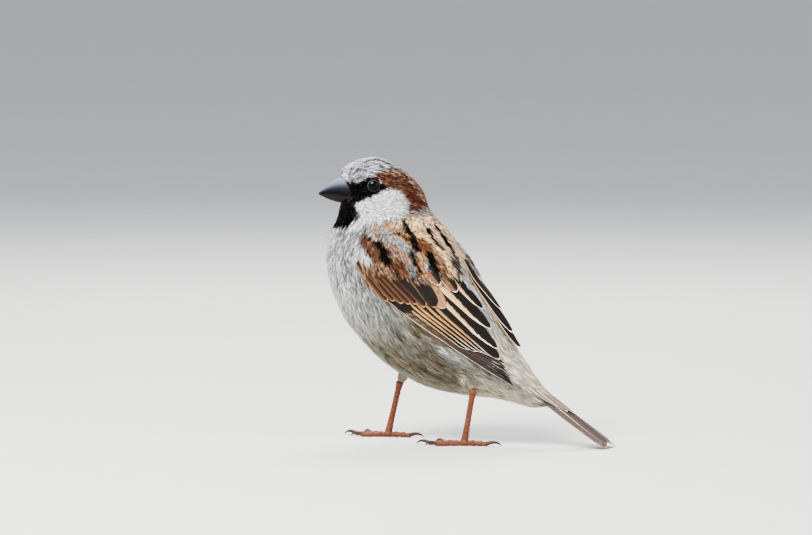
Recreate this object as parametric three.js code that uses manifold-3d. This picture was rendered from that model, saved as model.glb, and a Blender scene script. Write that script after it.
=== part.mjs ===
// A cock house sparrow standing still, at life size.
// Millimetres, +Z up. The bill points towards -X, the bird's left side towards -Y,
// and the floor is the plane Z = 0. The origin is on the floor under the middle of the whole bird.
import * as THREE from "three";
import { mergeVertices } from "three/addons/utils/BufferGeometryUtils.js";
import Module from "manifold-3d";

const wasm = await Module();
wasm.setup();

// ---- Driving dimensions -------------------------------------------------------------------
const GAP = 0.3; // clearance between neighbouring pieces
const HEAD_TURN = 22; // degrees that the head looks round to the bird's left
const NECK_AXIS_X = -9.1; // upright axis that the head turns about
const EYE_LEVEL = 96.1; // height of the eye's middle above the floor
const GAPE_LEVEL = 92.7; // height of the line where the two halves of the bill meet
const BILL_LENGTH = 11.9; // from the feathers of the forehead to the tip
const TARSUS_RADIUS = 1.0;
const TOE_RADIUS = 0.9;
const TAIL_LENGTH = 35; // from just inside the tail coverts to the tip
const AROUND_BODY = 26; // facets round the body
const ALONG_BODY = 36; // facets from crown to tail root

// Cross-sections of the feathered body, from the crown down to the tail root. Each one's plane
// holds the Y axis and rises by `lean` degrees towards the back. `front`, `back` and `half` are
// its reach from (x, z) to the breast side, to the back side and to either flank.
const SECTIONS = [
  { x: -13.4, z: 106.0, lean: 0, front: 1.2, back: 1.2, half: 1.2 }, // crown
  { x: -13.4, z: 105.3, lean: 0, front: 4.8, back: 4.6, half: 4.0 },
  { x: -13.4, z: 103.9, lean: 0, front: 8.5, back: 7.7, half: 6.3 },
  { x: -12.5, z: 101.2, lean: 0, front: 12.1, back: 10.8, half: 8.5 }, // forehead
  { x: -11.0, z: 97.9, lean: 0, front: 13.3, back: 13.2, half: 9.4 }, // eye
  { x: -8.3, z: 93.4, lean: 0, front: 14.8, back: 14.4, half: 10.4 }, // cheek
  { x: -8.6, z: 88.7, lean: 1, front: 17.0, back: 16.2, half: 11.5 }, // throat
  { x: -9.0, z: 83.8, lean: 6, front: 18.5, back: 18.5, half: 13.1 }, // nape
  { x: -9.5, z: 80.1, lean: 11, front: 21.6, back: 21.5, half: 14.8 },
  { x: -9.0, z: 76.3, lean: 16, front: 23.6, back: 22.7, half: 16.3 }, // shoulders
  { x: -7.3, z: 71.7, lean: 20, front: 25.2, back: 24.4, half: 17.7 },
  { x: -3.7, z: 65.8, lean: 23, front: 27.4, back: 24.9, half: 18.7 }, // breast
  { x: 1.2, z: 57.8, lean: 28, front: 28.1, back: 25.2, half: 19.0 },
  { x: 7.3, z: 49.1, lean: 32, front: 26.4, back: 24.0, half: 18.7 }, // belly
  { x: 14.5, z: 41.2, lean: 36, front: 24.0, back: 22.7, half: 17.3 },
  { x: 23.8, z: 33.8, lean: 40, front: 20.2, back: 18.9, half: 14.8 }, // vent
  { x: 33.8, z: 27.8, lean: 43, front: 14.2, back: 13.3, half: 11.3 },
  { x: 42.0, z: 23.7, lean: 43, front: 9.2, back: 9.1, half: 8.5 }, // rump
  { x: 48.8, z: 20.1, lean: 47, front: 6.1, back: 5.8, half: 6.3 },
  { x: 54.2, z: 17.2, lean: 53, front: 4.1, back: 3.5, half: 5.2 }, // tail root
];
const HEAD_END = 5; // the section down to which the whole head turns
const NECK_END = 9; // the section from which nothing turns
const THROAT_CUT = 6.6; // where head meets neck, counted in sections
const SHOULDER_CUT = 9.4; // where neck meets trunk
const RUMP_CUT = 15.6; // where trunk meets the tail coverts

const radians = THREE.MathUtils.degToRad;
const smooth = THREE.MathUtils.smoothstep;
const mix = THREE.MathUtils.lerp;
const up = new THREE.Vector3(0, 0, 1);

// ---- The body's surface -------------------------------------------------------------------
const curveOf = (...keys) =>
  new THREE.CatmullRomCurve3(
    SECTIONS.map((s) => new THREE.Vector3(...keys.map((k) => s[k]))),
    false,
    "catmullrom",
  );
const spine = curveOf("x", "z", "lean");
const girth = curveOf("front", "back", "half");
const LAST = SECTIONS.length - 1;

// How far the head's turn has reached at a place along the body, in radians.
const turnAt = (at) =>
  radians(HEAD_TURN) * (1 - smooth(at, HEAD_END, NECK_END));

// Turns a point about the neck's upright axis.
function turned(point, angle) {
  const x = point.x - NECK_AXIS_X;
  const [c, s] = [Math.cos(angle), Math.sin(angle)];
  return new THREE.Vector3(
    NECK_AXIS_X + x * c - point.y * s,
    x * s + point.y * c,
    point.z,
  );
}

// A point of the body: `at` counts sections from the crown, `angle` runs from the breast (0) by
// the bird's left flank (90 degrees) to the back (180), and `grow` swells the body.
function bodyPoint(at, angle, grow = 0, share = 1) {
  const place = spine.getPoint(at / LAST);
  const size = girth.getPoint(at / LAST);
  const lean = radians(place.z);
  const [c, s] = [Math.cos(angle), Math.sin(angle)];
  const reach = -c * ((c > 0 ? size.x : size.y) + grow) * share;
  const side = -s * (size.z + grow) * share;
  const point = new THREE.Vector3(
    place.x + reach * Math.cos(lean),
    side,
    place.y + reach * Math.sin(lean),
  );
  return turned(point, turnAt(at));
}

// ---- Helpers for shapes -------------------------------------------------------------------
// A closed tube: a cylinder's facets, each vertex put where `place(u, angle, share)` says, with
// u from 0 to 1 along it and share 0 only at the middle of each end.
function tube(around, along, place) {
  const shape = new THREE.CylinderGeometry(1, 1, 1, around, along);
  const spots = shape.getAttribute("position");
  for (let i = 0; i < spots.count; i++) {
    const [x, y, z] = [spots.getX(i), spots.getY(i), spots.getZ(i)];
    const point = place(0.5 - y, Math.atan2(z, x), Math.hypot(x, z) > 0.5 ? 1 : 0);
    spots.setXYZ(i, point.x, point.y, point.z);
  }
  return shape;
}

// A closed plate: a box's facets, each vertex put where `place(u, v, w)` says, all from 0 to 1.
function plate(along, across, place) {
  const shape = new THREE.BoxGeometry(1, 1, 1, along, across, 1);
  const spots = shape.getAttribute("position");
  for (let i = 0; i < spots.count; i++) {
    const point = place(spots.getX(i) + 0.5, spots.getY(i) + 0.5, spots.getZ(i) + 0.5);
    spots.setXYZ(i, point.x, point.y, point.z);
  }
  return shape;
}

// A round tube along a curve, with its radius given by `radius(u)`.
function limb(curve, radius, around, along) {
  const frames = curve.computeFrenetFrames(along, false);
  return tube(around, along, (u, angle, share) => {
    const i = Math.round(u * along);
    const r = radius(u) * share;
    return curve
      .getPointAt(i / along)
      .addScaledVector(frames.normals[i], r * Math.cos(angle))
      .addScaledVector(frames.binormals[i], r * Math.sin(angle));
  });
}

// A geometry as a solid that can be cut and joined, turned the right way out if need be.
function solidOf(geometry) {
  const bare = geometry.clone();
  bare.deleteAttribute("normal");
  bare.deleteAttribute("uv");
  const merged = mergeVertices(bare, 1e-4);
  const corners = new Uint32Array(merged.index.array);
  const vertProperties = merged.attributes.position.array;
  const made = new wasm.Manifold(
    new wasm.Mesh({ numProp: 3, vertProperties, triVerts: corners }),
  );
  if (made.volume() > 0) return made;
  for (let i = 0; i < corners.length; i += 3)
    [corners[i + 1], corners[i + 2]] = [corners[i + 2], corners[i + 1]];
  return new wasm.Manifold(
    new wasm.Mesh({ numProp: 3, vertProperties, triVerts: corners }),
  );
}

// A solid back as a geometry.
function geometryOf(solid) {
  const mesh = solid.getMesh();
  const shape = new THREE.BufferGeometry();
  shape.setAttribute("position", new THREE.BufferAttribute(mesh.vertProperties, 3));
  shape.setIndex(new THREE.BufferAttribute(mesh.triVerts, 1));
  shape.computeVertexNormals();
  return shape;
}

// A large block whose one face lies on the plane through `point`, filling the side that
// `outward` points to.
function blockBeyond(point, outward) {
  const size = 300;
  const block = new THREE.BoxGeometry(size, size, size);
  block.applyQuaternion(new THREE.Quaternion().setFromUnitVectors(up, outward));
  block.translate(...point.clone().addScaledVector(outward, size / 2).toArray());
  return solidOf(block);
}

const aboveFloor = blockBeyond(new THREE.Vector3(), up);
const vector = (x, y, z) => new THREE.Vector3(x, y, z);
const bird = new THREE.Group();

const FINISHES = {
  plumage: new THREE.MeshStandardMaterial({ color: "#b9b2a6", roughness: 0.9 }),
  wing: new THREE.MeshStandardMaterial({ color: "#8a5a36", roughness: 0.85 }),
  flight: new THREE.MeshStandardMaterial({ color: "#3b332f", roughness: 0.8 }),
  bill: new THREE.MeshStandardMaterial({ color: "#2b2d33", roughness: 0.4 }),
  eye: new THREE.MeshStandardMaterial({ color: "#120d0a", roughness: 0.05 }),
  foot: new THREE.MeshStandardMaterial({ color: "#a0512d", roughness: 0.6 }),
  claw: new THREE.MeshStandardMaterial({ color: "#2a211c", roughness: 0.45 }),
};

function add(name, finish, solid) {
  const piece = new THREE.Mesh(geometryOf(solid), FINISHES[finish]);
  piece.name = name;
  bird.add(piece);
}

// ---- Bill ---------------------------------------------------------------------------------
const BILL_ROOT = 12.4; // how far in front of the neck axis the bill shows
const BILL_HIDDEN = 2.4; // how far its root runs on into the face
const BILL_HALF_WIDTH = 3.9;
const UPPER_DEPTH = 6.6;
const LOWER_DEPTH = 3.5;
const UPPER_BEND = 1.8; // how much each half bows out between root and tip
const LOWER_BEND = 2;

// A point of the bill in the head's frame: u from root to tip, `sideways` -1 to 1, `rise` in mm.
function billPlace(u, sideways, rise) {
  const ahead = BILL_ROOT - BILL_HIDDEN + u * (BILL_LENGTH + BILL_HIDDEN);
  return turned(
    vector(NECK_AXIS_X - ahead, sideways, GAPE_LEVEL + rise),
    radians(HEAD_TURN),
  );
}

// One half of the bill; `way` is 1 for the upper and -1 for the lower.
function billHalf(way, depth, bend, grow) {
  const root = BILL_HIDDEN / (BILL_LENGTH + BILL_HIDDEN);
  return solidOf(
    tube(14, 9, (u, angle, share) => {
      const out = Math.max(0, (u - root) / (1 - root)); // 0 at the feathers, 1 at the tip
      const tall = depth * (1 - out ** bend) + 0.25 + grow;
      const wide = BILL_HALF_WIDTH * (1 - out ** 1.35) + 0.25 + grow;
      const [c, s] = [Math.cos(angle) * share, Math.sin(angle) * share];
      const rise = s * way > 0 ? tall * s : grow * s - (way * GAP) / 4;
      return billPlace(u, wide * c, rise + (way * GAP) / 2);
    }),
  );
}

const bill = {
  bill_upper: billHalf(1, UPPER_DEPTH, UPPER_BEND, 0),
  bill_lower: billHalf(-1, LOWER_DEPTH, LOWER_BEND, 0),
};
const billSocket = billHalf(1, UPPER_DEPTH, UPPER_BEND, GAP).add(
  billHalf(-1, LOWER_DEPTH, LOWER_BEND, GAP),
);

// ---- Eyes ---------------------------------------------------------------------------------
const EYE_RADIUS = 2.9; // the eyeball; only its front shows
const EYE_AHEAD = 3.6; // in front of the neck axis
const EYE_OUT = 7.3; // from the head's middle plane to the eyeball's middle

function eyeball(side, radius) {
  const ball = new THREE.SphereGeometry(radius, 14, 9);
  const middle = turned(
    vector(NECK_AXIS_X - EYE_AHEAD, side * EYE_OUT, EYE_LEVEL),
    radians(HEAD_TURN),
  );
  return solidOf(ball.translate(...middle.toArray()));
}

const LEFT = -1;
const RIGHT = 1;
const sideName = (side) => (side === LEFT ? "left" : "right");

// ---- Head, neck, trunk and tail coverts: one body, parted by thin cuts ---------------------
const wholeBody = (grow) =>
  solidOf(
    tube(AROUND_BODY, ALONG_BODY, (u, angle, share) =>
      bodyPoint(u * LAST, angle, grow, share),
    ),
  );

// The plane across the body at a place counted in sections: a point and the way to the crown.
function crossPlane(at) {
  const middle = bodyPoint(at, 0, 0, 0);
  const lean = radians(spine.getPoint(at / LAST).z);
  const outward = vector(-Math.sin(lean), 0, Math.cos(lean));
  return { middle, outward: outward.applyAxisAngle(up, turnAt(at)) };
}

function bodyPiece(from, to) {
  let piece = wholeBody(0);
  if (from !== null) {
    const { middle, outward } = crossPlane(from);
    piece = piece.subtract(
      blockBeyond(middle.addScaledVector(outward, -GAP / 2), outward),
    );
  }
  if (to !== null) {
    const { middle, outward } = crossPlane(to);
    piece = piece.intersect(
      blockBeyond(middle.addScaledVector(outward, GAP / 2), outward),
    );
  }
  return piece;
}

const sockets = billSocket
  .add(eyeball(LEFT, EYE_RADIUS + GAP))
  .add(eyeball(RIGHT, EYE_RADIUS + GAP));
add("head", "plumage", bodyPiece(null, THROAT_CUT).subtract(sockets));
add("neck", "plumage", bodyPiece(THROAT_CUT, SHOULDER_CUT));
add("trunk", "plumage", bodyPiece(SHOULDER_CUT, RUMP_CUT));
add("tail_coverts", "plumage", bodyPiece(RUMP_CUT, null));
for (const [name, solid] of Object.entries(bill)) add(name, "bill", solid);
for (const side of [LEFT, RIGHT])
  add(`eye_${sideName(side)}`, "eye", eyeball(side, EYE_RADIUS));

// ---- Wings: folded plates that lie on the flanks --------------------------------------------
// A wing runs from its bend (0) to its tip (1). At each place, `at` is where it lies along the
// body in sections, `low` its lower edge and `high` its upper edge, in degrees from the breast.
const WING_LINES = [
  { at: 9.3, low: 86, high: 112 },
  { at: 10.4, low: 79, high: 140 },
  { at: 11.5, low: 74, high: 158 },
  { at: 12.9, low: 88, high: 162 },
  { at: 14.3, low: 98, high: 156 },
  { at: 15.6, low: 109, high: 149 },
  { at: 16.6, low: 115, high: 139 },
  { at: 17.4, low: 120, high: 128 },
];
const wingCurve = new THREE.CatmullRomCurve3(
  WING_LINES.map((w) => vector(w.at, w.low, w.high)),
  false,
  "catmullrom",
);
const WING_PARTS = [
  { name: "coverts", from: 0, to: 0.4, finish: "wing" },
  { name: "secondaries", from: 0.4, to: 0.76, finish: "flight" },
  { name: "primaries", from: 0.76, to: 1, finish: "flight" },
];
const WING_THICK = 2.1; // over the coverts
const WING_TIP_THICK = 1.5;
const WING_LIFT = 1; // how far the long feathers stand off the narrowing rump

function wingPiece(side, from, to) {
  return solidOf(
    plate(8, 6, (u, v, w) => {
      const along = mix(from, to, u);
      const line = wingCurve.getPoint(along);
      const edge = 1 - Math.abs(2 * v - 1) ** 4; // thins out to the edges
      const thick = mix(WING_THICK, WING_TIP_THICK, along) * (0.45 + 0.55 * edge);
      const lift = GAP + WING_LIFT * smooth(line.x, 13.5, 17.5);
      const point = bodyPoint(line.x, radians(mix(line.y, line.z, v)), lift + w * thick);
      return vector(point.x, -side * point.y, point.z);
    }),
  );
}

for (const side of [LEFT, RIGHT])
  for (const [i, { name, from, to, finish }] of WING_PARTS.entries()) {
    const start = from + (i ? 0.004 : 0);
    add(`wing_${sideName(side)}_${name}`, finish, wingPiece(side, start, to));
  }

// ---- Tail: a folded fan, laid with its tip on the floor ----------------------------------------
const TAIL_ROOT = vector(53, 0, 20);
const TAIL_SLOPE = 33.5; // degrees below the horizontal
const TAIL_HALF_WIDTH = { root: 4.4, tip: 7.2 };
const TAIL_THICK = { root: 4.2, tip: 1.5 };
const TAIL_NOTCH = 2.2; // how far the middle feathers stop short of the outer ones
const TAIL_ARCH = 0.9; // how much higher its middle is than its edges

const tail = solidOf(
  plate(8, 6, (u, v, w) => {
    const across = 2 * v - 1;
    const wide = mix(TAIL_HALF_WIDTH.root, TAIL_HALF_WIDTH.tip, Math.sqrt(u));
    const thick = mix(TAIL_THICK.root, TAIL_THICK.tip, u);
    const out = u * (TAIL_LENGTH - TAIL_NOTCH * (1 - Math.abs(across)));
    const rise = (w - 0.5) * thick - TAIL_ARCH * across ** 2;
    const slope = radians(TAIL_SLOPE);
    return vector(
      TAIL_ROOT.x + out * Math.cos(slope) + rise * Math.sin(slope),
      wide * across,
      TAIL_ROOT.z - out * Math.sin(slope) + rise * Math.cos(slope),
    );
  }),
);
const rootPlane = crossPlane(LAST);
const behindCoverts = blockBeyond(
  rootPlane.middle.addScaledVector(rootPlane.outward, -GAP),
  rootPlane.outward.clone().negate(),
);
add("tail", "flight", tail.intersect(behindCoverts).intersect(aboveFloor));

// ---- Legs -------------------------------------------------------------------------------------
const LEGS = [
  {
    side: LEFT,
    hip: vector(22, -7.5, 34),
    heel: vector(31.4, -11.2, 20.6),
    foot: vector(28, -11, 2),
    heading: 188, // degrees, seen from above, that the middle toe points to
  },
  {
    side: RIGHT,
    hip: vector(4, 7.5, 40),
    heel: vector(-6.8, 10.8, 21),
    foot: vector(-11.4, 10.6, 2),
    heading: 176,
  },
];
const THIGH_RADIUS = 4.8;
const HEEL_RADIUS = 1.4;
const FLAT = 0.15; // how much is pared off whatever rests on the floor
// Each toe: its angle from the middle toe on the left foot, its length and its claw's length.
const TOES = [
  { name: "hind", swing: 176, long: 7.6, claw: 6.4, thick: 1.08 },
  { name: "inner", swing: -27, long: 9.2, claw: 4.6, thick: 0.92 },
  { name: "middle", swing: 0, long: 12.8, claw: 5.2, thick: 1 },
  { name: "outer", swing: 25, long: 9.8, claw: 4.6, thick: 0.92 },
];
const bodyRoom = wholeBody(GAP);

const thigh = ({ hip, heel }) =>
  solidOf(
    limb(
      new THREE.LineCurve3(hip, hip.clone().lerp(heel, 0.97)),
      (u) => mix(THIGH_RADIUS, HEEL_RADIUS, u ** 0.8),
      12,
      6,
    ),
  ).subtract(bodyRoom);

// The scaly lower leg with the pad that the toes spring from.
function tarsus({ heel, foot }, grow) {
  const shank = limb(
    new THREE.LineCurve3(heel.clone().lerp(foot, 0.03), foot),
    (u) => TARSUS_RADIUS * (1 + 0.35 * (1 - u) ** 4 + 0.3 * u ** 6) + grow,
    8,
    6,
  );
  const pad = new THREE.SphereGeometry(1, 10, 7);
  pad.scale(2.1 + grow, 1.6 + grow, 1.4 + grow);
  pad.translate(foot.x, foot.y, 1.4 - FLAT);
  return solidOf(shank).add(solidOf(pad));
}

// A toe lying on the floor from the foot's pad, swelling a little at its joints.
function toe({ foot }, { long, thick }, direction, grow) {
  const stout = TOE_RADIUS * thick;
  const start = foot.clone().addScaledVector(direction, 1.2).setZ(stout * 1.06 - FLAT);
  const end = foot.clone().addScaledVector(direction, 1.2 + long).setZ(stout * 0.88 - FLAT);
  const radius = (u) => stout * (1 - 0.18 * u + 0.07 * Math.cos(u * 6 * Math.PI)) + grow;
  return solidOf(limb(new THREE.LineCurve3(start, end), radius, 8, 6));
}

// A claw arching from the toe's end down to just above the floor.
function claw({ foot }, { long, claw: reach, thick }, direction) {
  const from = 1.2 + long + GAP;
  const point = (out, height) =>
    foot.clone().addScaledVector(direction, from + out).setZ(height);
  const arch = new THREE.QuadraticBezierCurve3(
    point(0, 0.9),
    point(reach * 0.62, 2.4),
    point(reach * 0.86, 0.35),
  );
  return solidOf(limb(arch, (u) => 0.68 * thick * (1 - u) ** 0.8 + 0.25, 7, 7));
}

for (const leg of LEGS) {
  const side = sideName(leg.side);
  add(`thigh_${side}`, "plumage", thigh(leg));
  add(`tarsus_${side}`, "foot", tarsus(leg, 0).intersect(aboveFloor));
  const room = tarsus(leg, GAP);
  const directionOf = (swing) =>
    vector(1, 0, 0).applyAxisAngle(up, radians(leg.heading - leg.side * swing));
  const middle = TOES.find((t) => t.name === "middle");
  const middleRoom = toe(leg, middle, directionOf(middle.swing), GAP);
  for (const kind of TOES) {
    const direction = directionOf(kind.swing);
    let solid = toe(leg, kind, direction, 0).subtract(room).intersect(aboveFloor);
    if (kind !== middle) solid = solid.subtract(middleRoom);
    add(`toe_${side}_${kind.name}`, "foot", solid);
    add(
      `claw_${side}_${kind.name}`,
      "claw",
      claw(leg, kind, direction).intersect(aboveFloor),
    );
  }
}

// ---- The origin: on the floor, under the middle of the bird ------------------------------------
const box = new THREE.Box3().setFromObject(bird);
const middle = box.getCenter(new THREE.Vector3());
for (const piece of bird.children) piece.position.set(-middle.x, -middle.y, -box.min.z);

export default bird;
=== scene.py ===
# %% [markdown]
# # A cock house sparrow, still and at life size
# A museum sparrow is three things laid over each other: a body, a coat of small loose
# feathers, and the long feathers of the wings and tail. This lesson makes them in that
# order, on a frame of solids that already fixes every size. All lengths are written in
# millimetres, in the frame's own directions: the bill points to -X, the bird's left
# flank faces -Y, and +Z is up. They become metres in one place only.

# %% Load the frame
import math

import bpy
import numpy as np
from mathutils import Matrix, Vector
from mathutils.kdtree import KDTree


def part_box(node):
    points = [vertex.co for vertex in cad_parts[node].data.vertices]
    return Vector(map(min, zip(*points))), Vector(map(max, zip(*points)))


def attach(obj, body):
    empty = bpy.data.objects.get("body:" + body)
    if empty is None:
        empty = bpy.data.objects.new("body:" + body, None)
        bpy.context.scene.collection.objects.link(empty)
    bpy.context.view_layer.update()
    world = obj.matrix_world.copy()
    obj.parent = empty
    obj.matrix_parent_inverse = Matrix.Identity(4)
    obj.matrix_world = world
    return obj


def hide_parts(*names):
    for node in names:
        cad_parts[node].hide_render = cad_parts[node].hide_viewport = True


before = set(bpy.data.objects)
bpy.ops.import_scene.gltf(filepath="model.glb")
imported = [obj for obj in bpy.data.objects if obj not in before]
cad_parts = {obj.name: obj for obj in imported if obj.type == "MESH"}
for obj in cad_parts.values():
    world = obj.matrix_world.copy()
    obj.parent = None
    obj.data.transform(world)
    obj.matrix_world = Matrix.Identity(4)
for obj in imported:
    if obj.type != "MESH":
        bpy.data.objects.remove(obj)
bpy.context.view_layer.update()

# %% [markdown]
# ## The body's shape
# Any bird's body can be told as a row of cross-sections from the crown to the tail's
# root. Each one has a place, a lean, and a reach to the breast, to the back and to either
# flank. A smooth curve through the rows gives the shape in between. Two numbers then name
# any spot on the bird: `at` counts sections from the crown, and `angle` runs from the
# breast (0) over the left flank (90) to the back (180), with the right flank negative.
# Writing the shape as a function pays off later: skin, feathers and markings all use it.

# %% Sections of the body
MM = 0.001
# x, z, lean, front, back, half width
SECTIONS = np.array(
    [
        (-13.4, 106.0, 0, 1.2, 1.2, 1.2),  # crown
        (-13.4, 105.3, 0, 4.8, 4.6, 4.0),
        (-13.4, 103.9, 0, 8.5, 7.7, 6.3),
        (-12.5, 101.2, 0, 12.1, 10.8, 8.5),  # forehead
        (-11.0, 97.9, 0, 13.3, 13.2, 9.4),  # eye
        (-8.3, 93.4, 0, 14.8, 14.4, 10.4),  # cheek
        (-8.6, 88.7, 1, 17.0, 16.2, 11.5),  # throat
        (-9.0, 83.8, 6, 18.5, 18.5, 13.1),  # nape
        (-9.5, 80.1, 11, 21.6, 21.5, 14.8),
        (-9.0, 76.3, 16, 23.6, 22.7, 16.3),  # shoulders
        (-7.3, 71.7, 20, 25.2, 24.4, 17.7),
        (-3.7, 65.8, 23, 27.4, 24.9, 18.7),  # breast
        (1.2, 57.8, 28, 28.1, 25.2, 19.0),
        (7.3, 49.1, 32, 26.4, 24.0, 18.7),  # belly
        (14.5, 41.2, 36, 24.0, 22.7, 17.3),
        (23.8, 33.8, 40, 20.2, 18.9, 14.8),  # vent
        (33.8, 27.8, 43, 14.2, 13.3, 11.3),
        (42.0, 23.7, 43, 9.2, 9.1, 8.5),  # rump
        (48.8, 20.1, 47, 6.1, 5.8, 6.3),
        (54.2, 17.2, 53, 4.1, 3.5, 5.2),  # tail root
    ]
)
LAST = len(SECTIONS) - 1
HEAD_TURN = 22.0  # degrees that the head looks round to the bird's left
NECK_AXIS_X = -9.1
HEAD_END, NECK_END = 5, 9  # the sections between which that turn fades away


def smooth(value, low, high):
    """0 below low, 1 above high, and a soft step between."""
    t = np.clip((np.asarray(value, float) - low) / (high - low), 0, 1)
    return t * t * (3 - 2 * t)


def spread(table, at):
    """A table's values at a place counted in rows, on a smooth curve through them."""
    at = np.clip(at, 0, len(table) - 1)
    row = np.minimum(at.astype(int), len(table) - 2)
    w = (at - row)[..., None]
    ends = (2 * table[:1] - table[1:2], table, 2 * table[-1:] - table[-2:-1])
    p0, p1, p2, p3 = (np.vstack(ends)[row + k] for k in range(4))
    m1, m2 = (p2 - p0) / 2, (p3 - p1) / 2
    bend = (3 * (p2 - p1) - 2 * m1 - m2) * w**2
    return p1 + m1 * w + bend + (2 * (p1 - p2) + m1 + m2) * w**3


def turned(points, degrees):
    """Points turned about the upright axis of the neck."""
    c, s = np.cos(np.radians(degrees)), np.sin(np.radians(degrees))
    x, y = points[..., 0] - NECK_AXIS_X, points[..., 1]
    return np.stack([NECK_AXIS_X + x * c - y * s, x * s + y * c, points[..., 2]], -1)


def turn_at(at):
    return HEAD_TURN * (1 - smooth(at, HEAD_END, NECK_END))


def body_point(at, angle, grow=0.0):
    """A point of the plumage's surface, or `grow` millimetres outside it."""
    at, angle, grow = np.broadcast_arrays(*(np.asarray(v, float) for v in (at, angle, grow)))
    x, z, lean, front, back, half = np.moveaxis(spread(SECTIONS, at), -1, 0)
    lean = np.radians(lean)
    c, s = np.cos(np.radians(angle)), np.sin(np.radians(angle))
    reach = -c * (np.where(c > 0, front, back) + grow)
    side = -s * (half + grow)
    points = np.stack([x + reach * np.cos(lean), side, z + reach * np.sin(lean)], -1)
    return turned(points, turn_at(at))


def unit(vectors):
    return vectors / (np.linalg.norm(vectors, axis=-1, keepdims=True) + 1e-12)


def body_normal(at, angle):
    """The outward direction at a spot of the body."""
    at = np.clip(np.asarray(at, float), 0.05, LAST - 0.05)
    along = body_point(at + 0.04, angle) - body_point(at - 0.04, angle)
    around = body_point(at, np.asarray(angle) + 1) - body_point(at, np.asarray(angle) - 1)
    return unit(np.cross(along, around))


eye_low, eye_high = (np.array(corner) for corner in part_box("eye_left"))
EYE = {"ahead": 3.6, "out": 7.3, "level": 96.1, "radius": 2.9}


def head_point(ahead, side, up):
    """A point told from the head: millimetres ahead of the neck axis, to the right, up."""
    ahead, side, up = np.broadcast_arrays(ahead, side, up)
    straight = np.stack([NECK_AXIS_X - ahead, side, up], -1).astype(float)
    return turned(straight, HEAD_TURN)


left_eye = head_point(EYE["ahead"], -EYE["out"], EYE["level"])
SHIFT = np.round((eye_low + eye_high) / 2 / MM - left_eye, 3)
print("the frame's origin lies at", -SHIFT, "mm in this lesson's coordinates")

# %% [markdown]
# ## Small helpers
# Every piece ends as one mesh whose object sits at the origin. These helpers turn arrays
# into such meshes, give them named attributes, and hand the finished piece to the frame.

# %% Mesh helpers
FLESH = ["head", "neck", "trunk", "tail_coverts", "thigh_left", "thigh_right"]
SIDES = {"left": -1, "right": 1}  # the sign of Y


def to_metres(points):
    return (np.asarray(points, float) + SHIFT) * MM


def mesh_object(name, points, faces=()):
    """An object from points in millimetres."""
    mesh = bpy.data.meshes.new(name)
    mesh.from_pydata(to_metres(points).tolist(), [], [tuple(map(int, f)) for f in faces])
    mesh.validate()
    thing = bpy.data.objects.new(name, mesh)
    bpy.context.scene.collection.objects.link(thing)
    mesh.shade_smooth()
    return thing


def set_attribute(mesh, name, kind, values, domain="POINT"):
    """Stores one value for each point or face under a name."""
    key = {"FLOAT_VECTOR": "vector", "FLOAT_COLOR": "color"}.get(kind, "value")
    layer = mesh.attributes.new(name, kind, domain)
    layer.data.foreach_set(key, np.ascontiguousarray(values, dtype=float if kind != "INT" else int).ravel())


def read_points(mesh):
    flat = np.empty(len(mesh.vertices) * 3)
    mesh.vertices.foreach_get("co", flat)
    return flat.reshape(-1, 3) / MM - SHIFT


def read_normals(mesh):
    flat = np.empty(len(mesh.vertices) * 3)
    mesh.vertex_normals.foreach_get("vector", flat)
    return flat.reshape(-1, 3)


def triangles(thing):
    return sum(len(face.vertices) - 2 for face in thing.data.polygons)


def finish(thing, material=None, nodes=()):
    """Gives a piece its material and its place in the frame, and hides the frame's parts that it takes the
    place of.
    """
    if material:
        thing.data.materials.clear()
        thing.data.materials.append(material)
    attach(thing, "root")
    if nodes:
        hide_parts(*nodes)
    print(f"{thing.name}: {triangles(thing)} triangles")
    return thing


def grid_faces(rows, columns, closed=False):
    """Faces of a grid of points laid out row by row."""
    a = np.arange(rows - 1)[:, None] * columns
    b = np.arange(columns if closed else columns - 1)[None]
    c = (b + 1) % columns
    return np.stack([a + b, a + c, a + columns + c, a + columns + b], -1).reshape(-1, 4)


def tube(sections, name=None):
    """Points and faces of a closed tube through rings of points."""
    sections = np.asarray(sections, float)
    rings, around = sections.shape[:2]
    points = np.vstack([sections.reshape(-1, 3), sections[0].mean(0), sections[-1].mean(0)])
    faces = [tuple(f) for f in grid_faces(rings, around, closed=True)[:, ::-1]]
    first, last = rings * around, rings * around + 1
    for k in range(around):
        after = (k + 1) % around
        faces.append((first, k, after))
        faces.append((last, (rings - 1) * around + after, (rings - 1) * around + k))
    return (points, faces) if name is None else mesh_object(name, points, faces)


# %% [markdown]
# ## Colours
# Colours are written as they look on a screen, from 0 to 1, and turned into the linear
# light that a renderer works with.


# %% Colour helper
def paint(*screen):
    """Linear colour from screen values of red, green and blue."""
    screen = np.array(screen, float)
    linear = np.where(screen <= 0.04045, screen / 12.92, ((screen + 0.055) / 1.055) ** 2.4)
    return np.append(linear, 1.0)


def blend(base, over, amount):
    """Lays one colour over others by an amount from 0 to 1."""
    return base + (np.asarray(over) - base) * np.asarray(amount)[..., None]


# %% [markdown]
# ## Node helpers
# Node trees are long to write out by hand. This small builder adds a node, sets its
# options and joins its inputs in one line, for materials and for Geometry Nodes alike.


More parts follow.
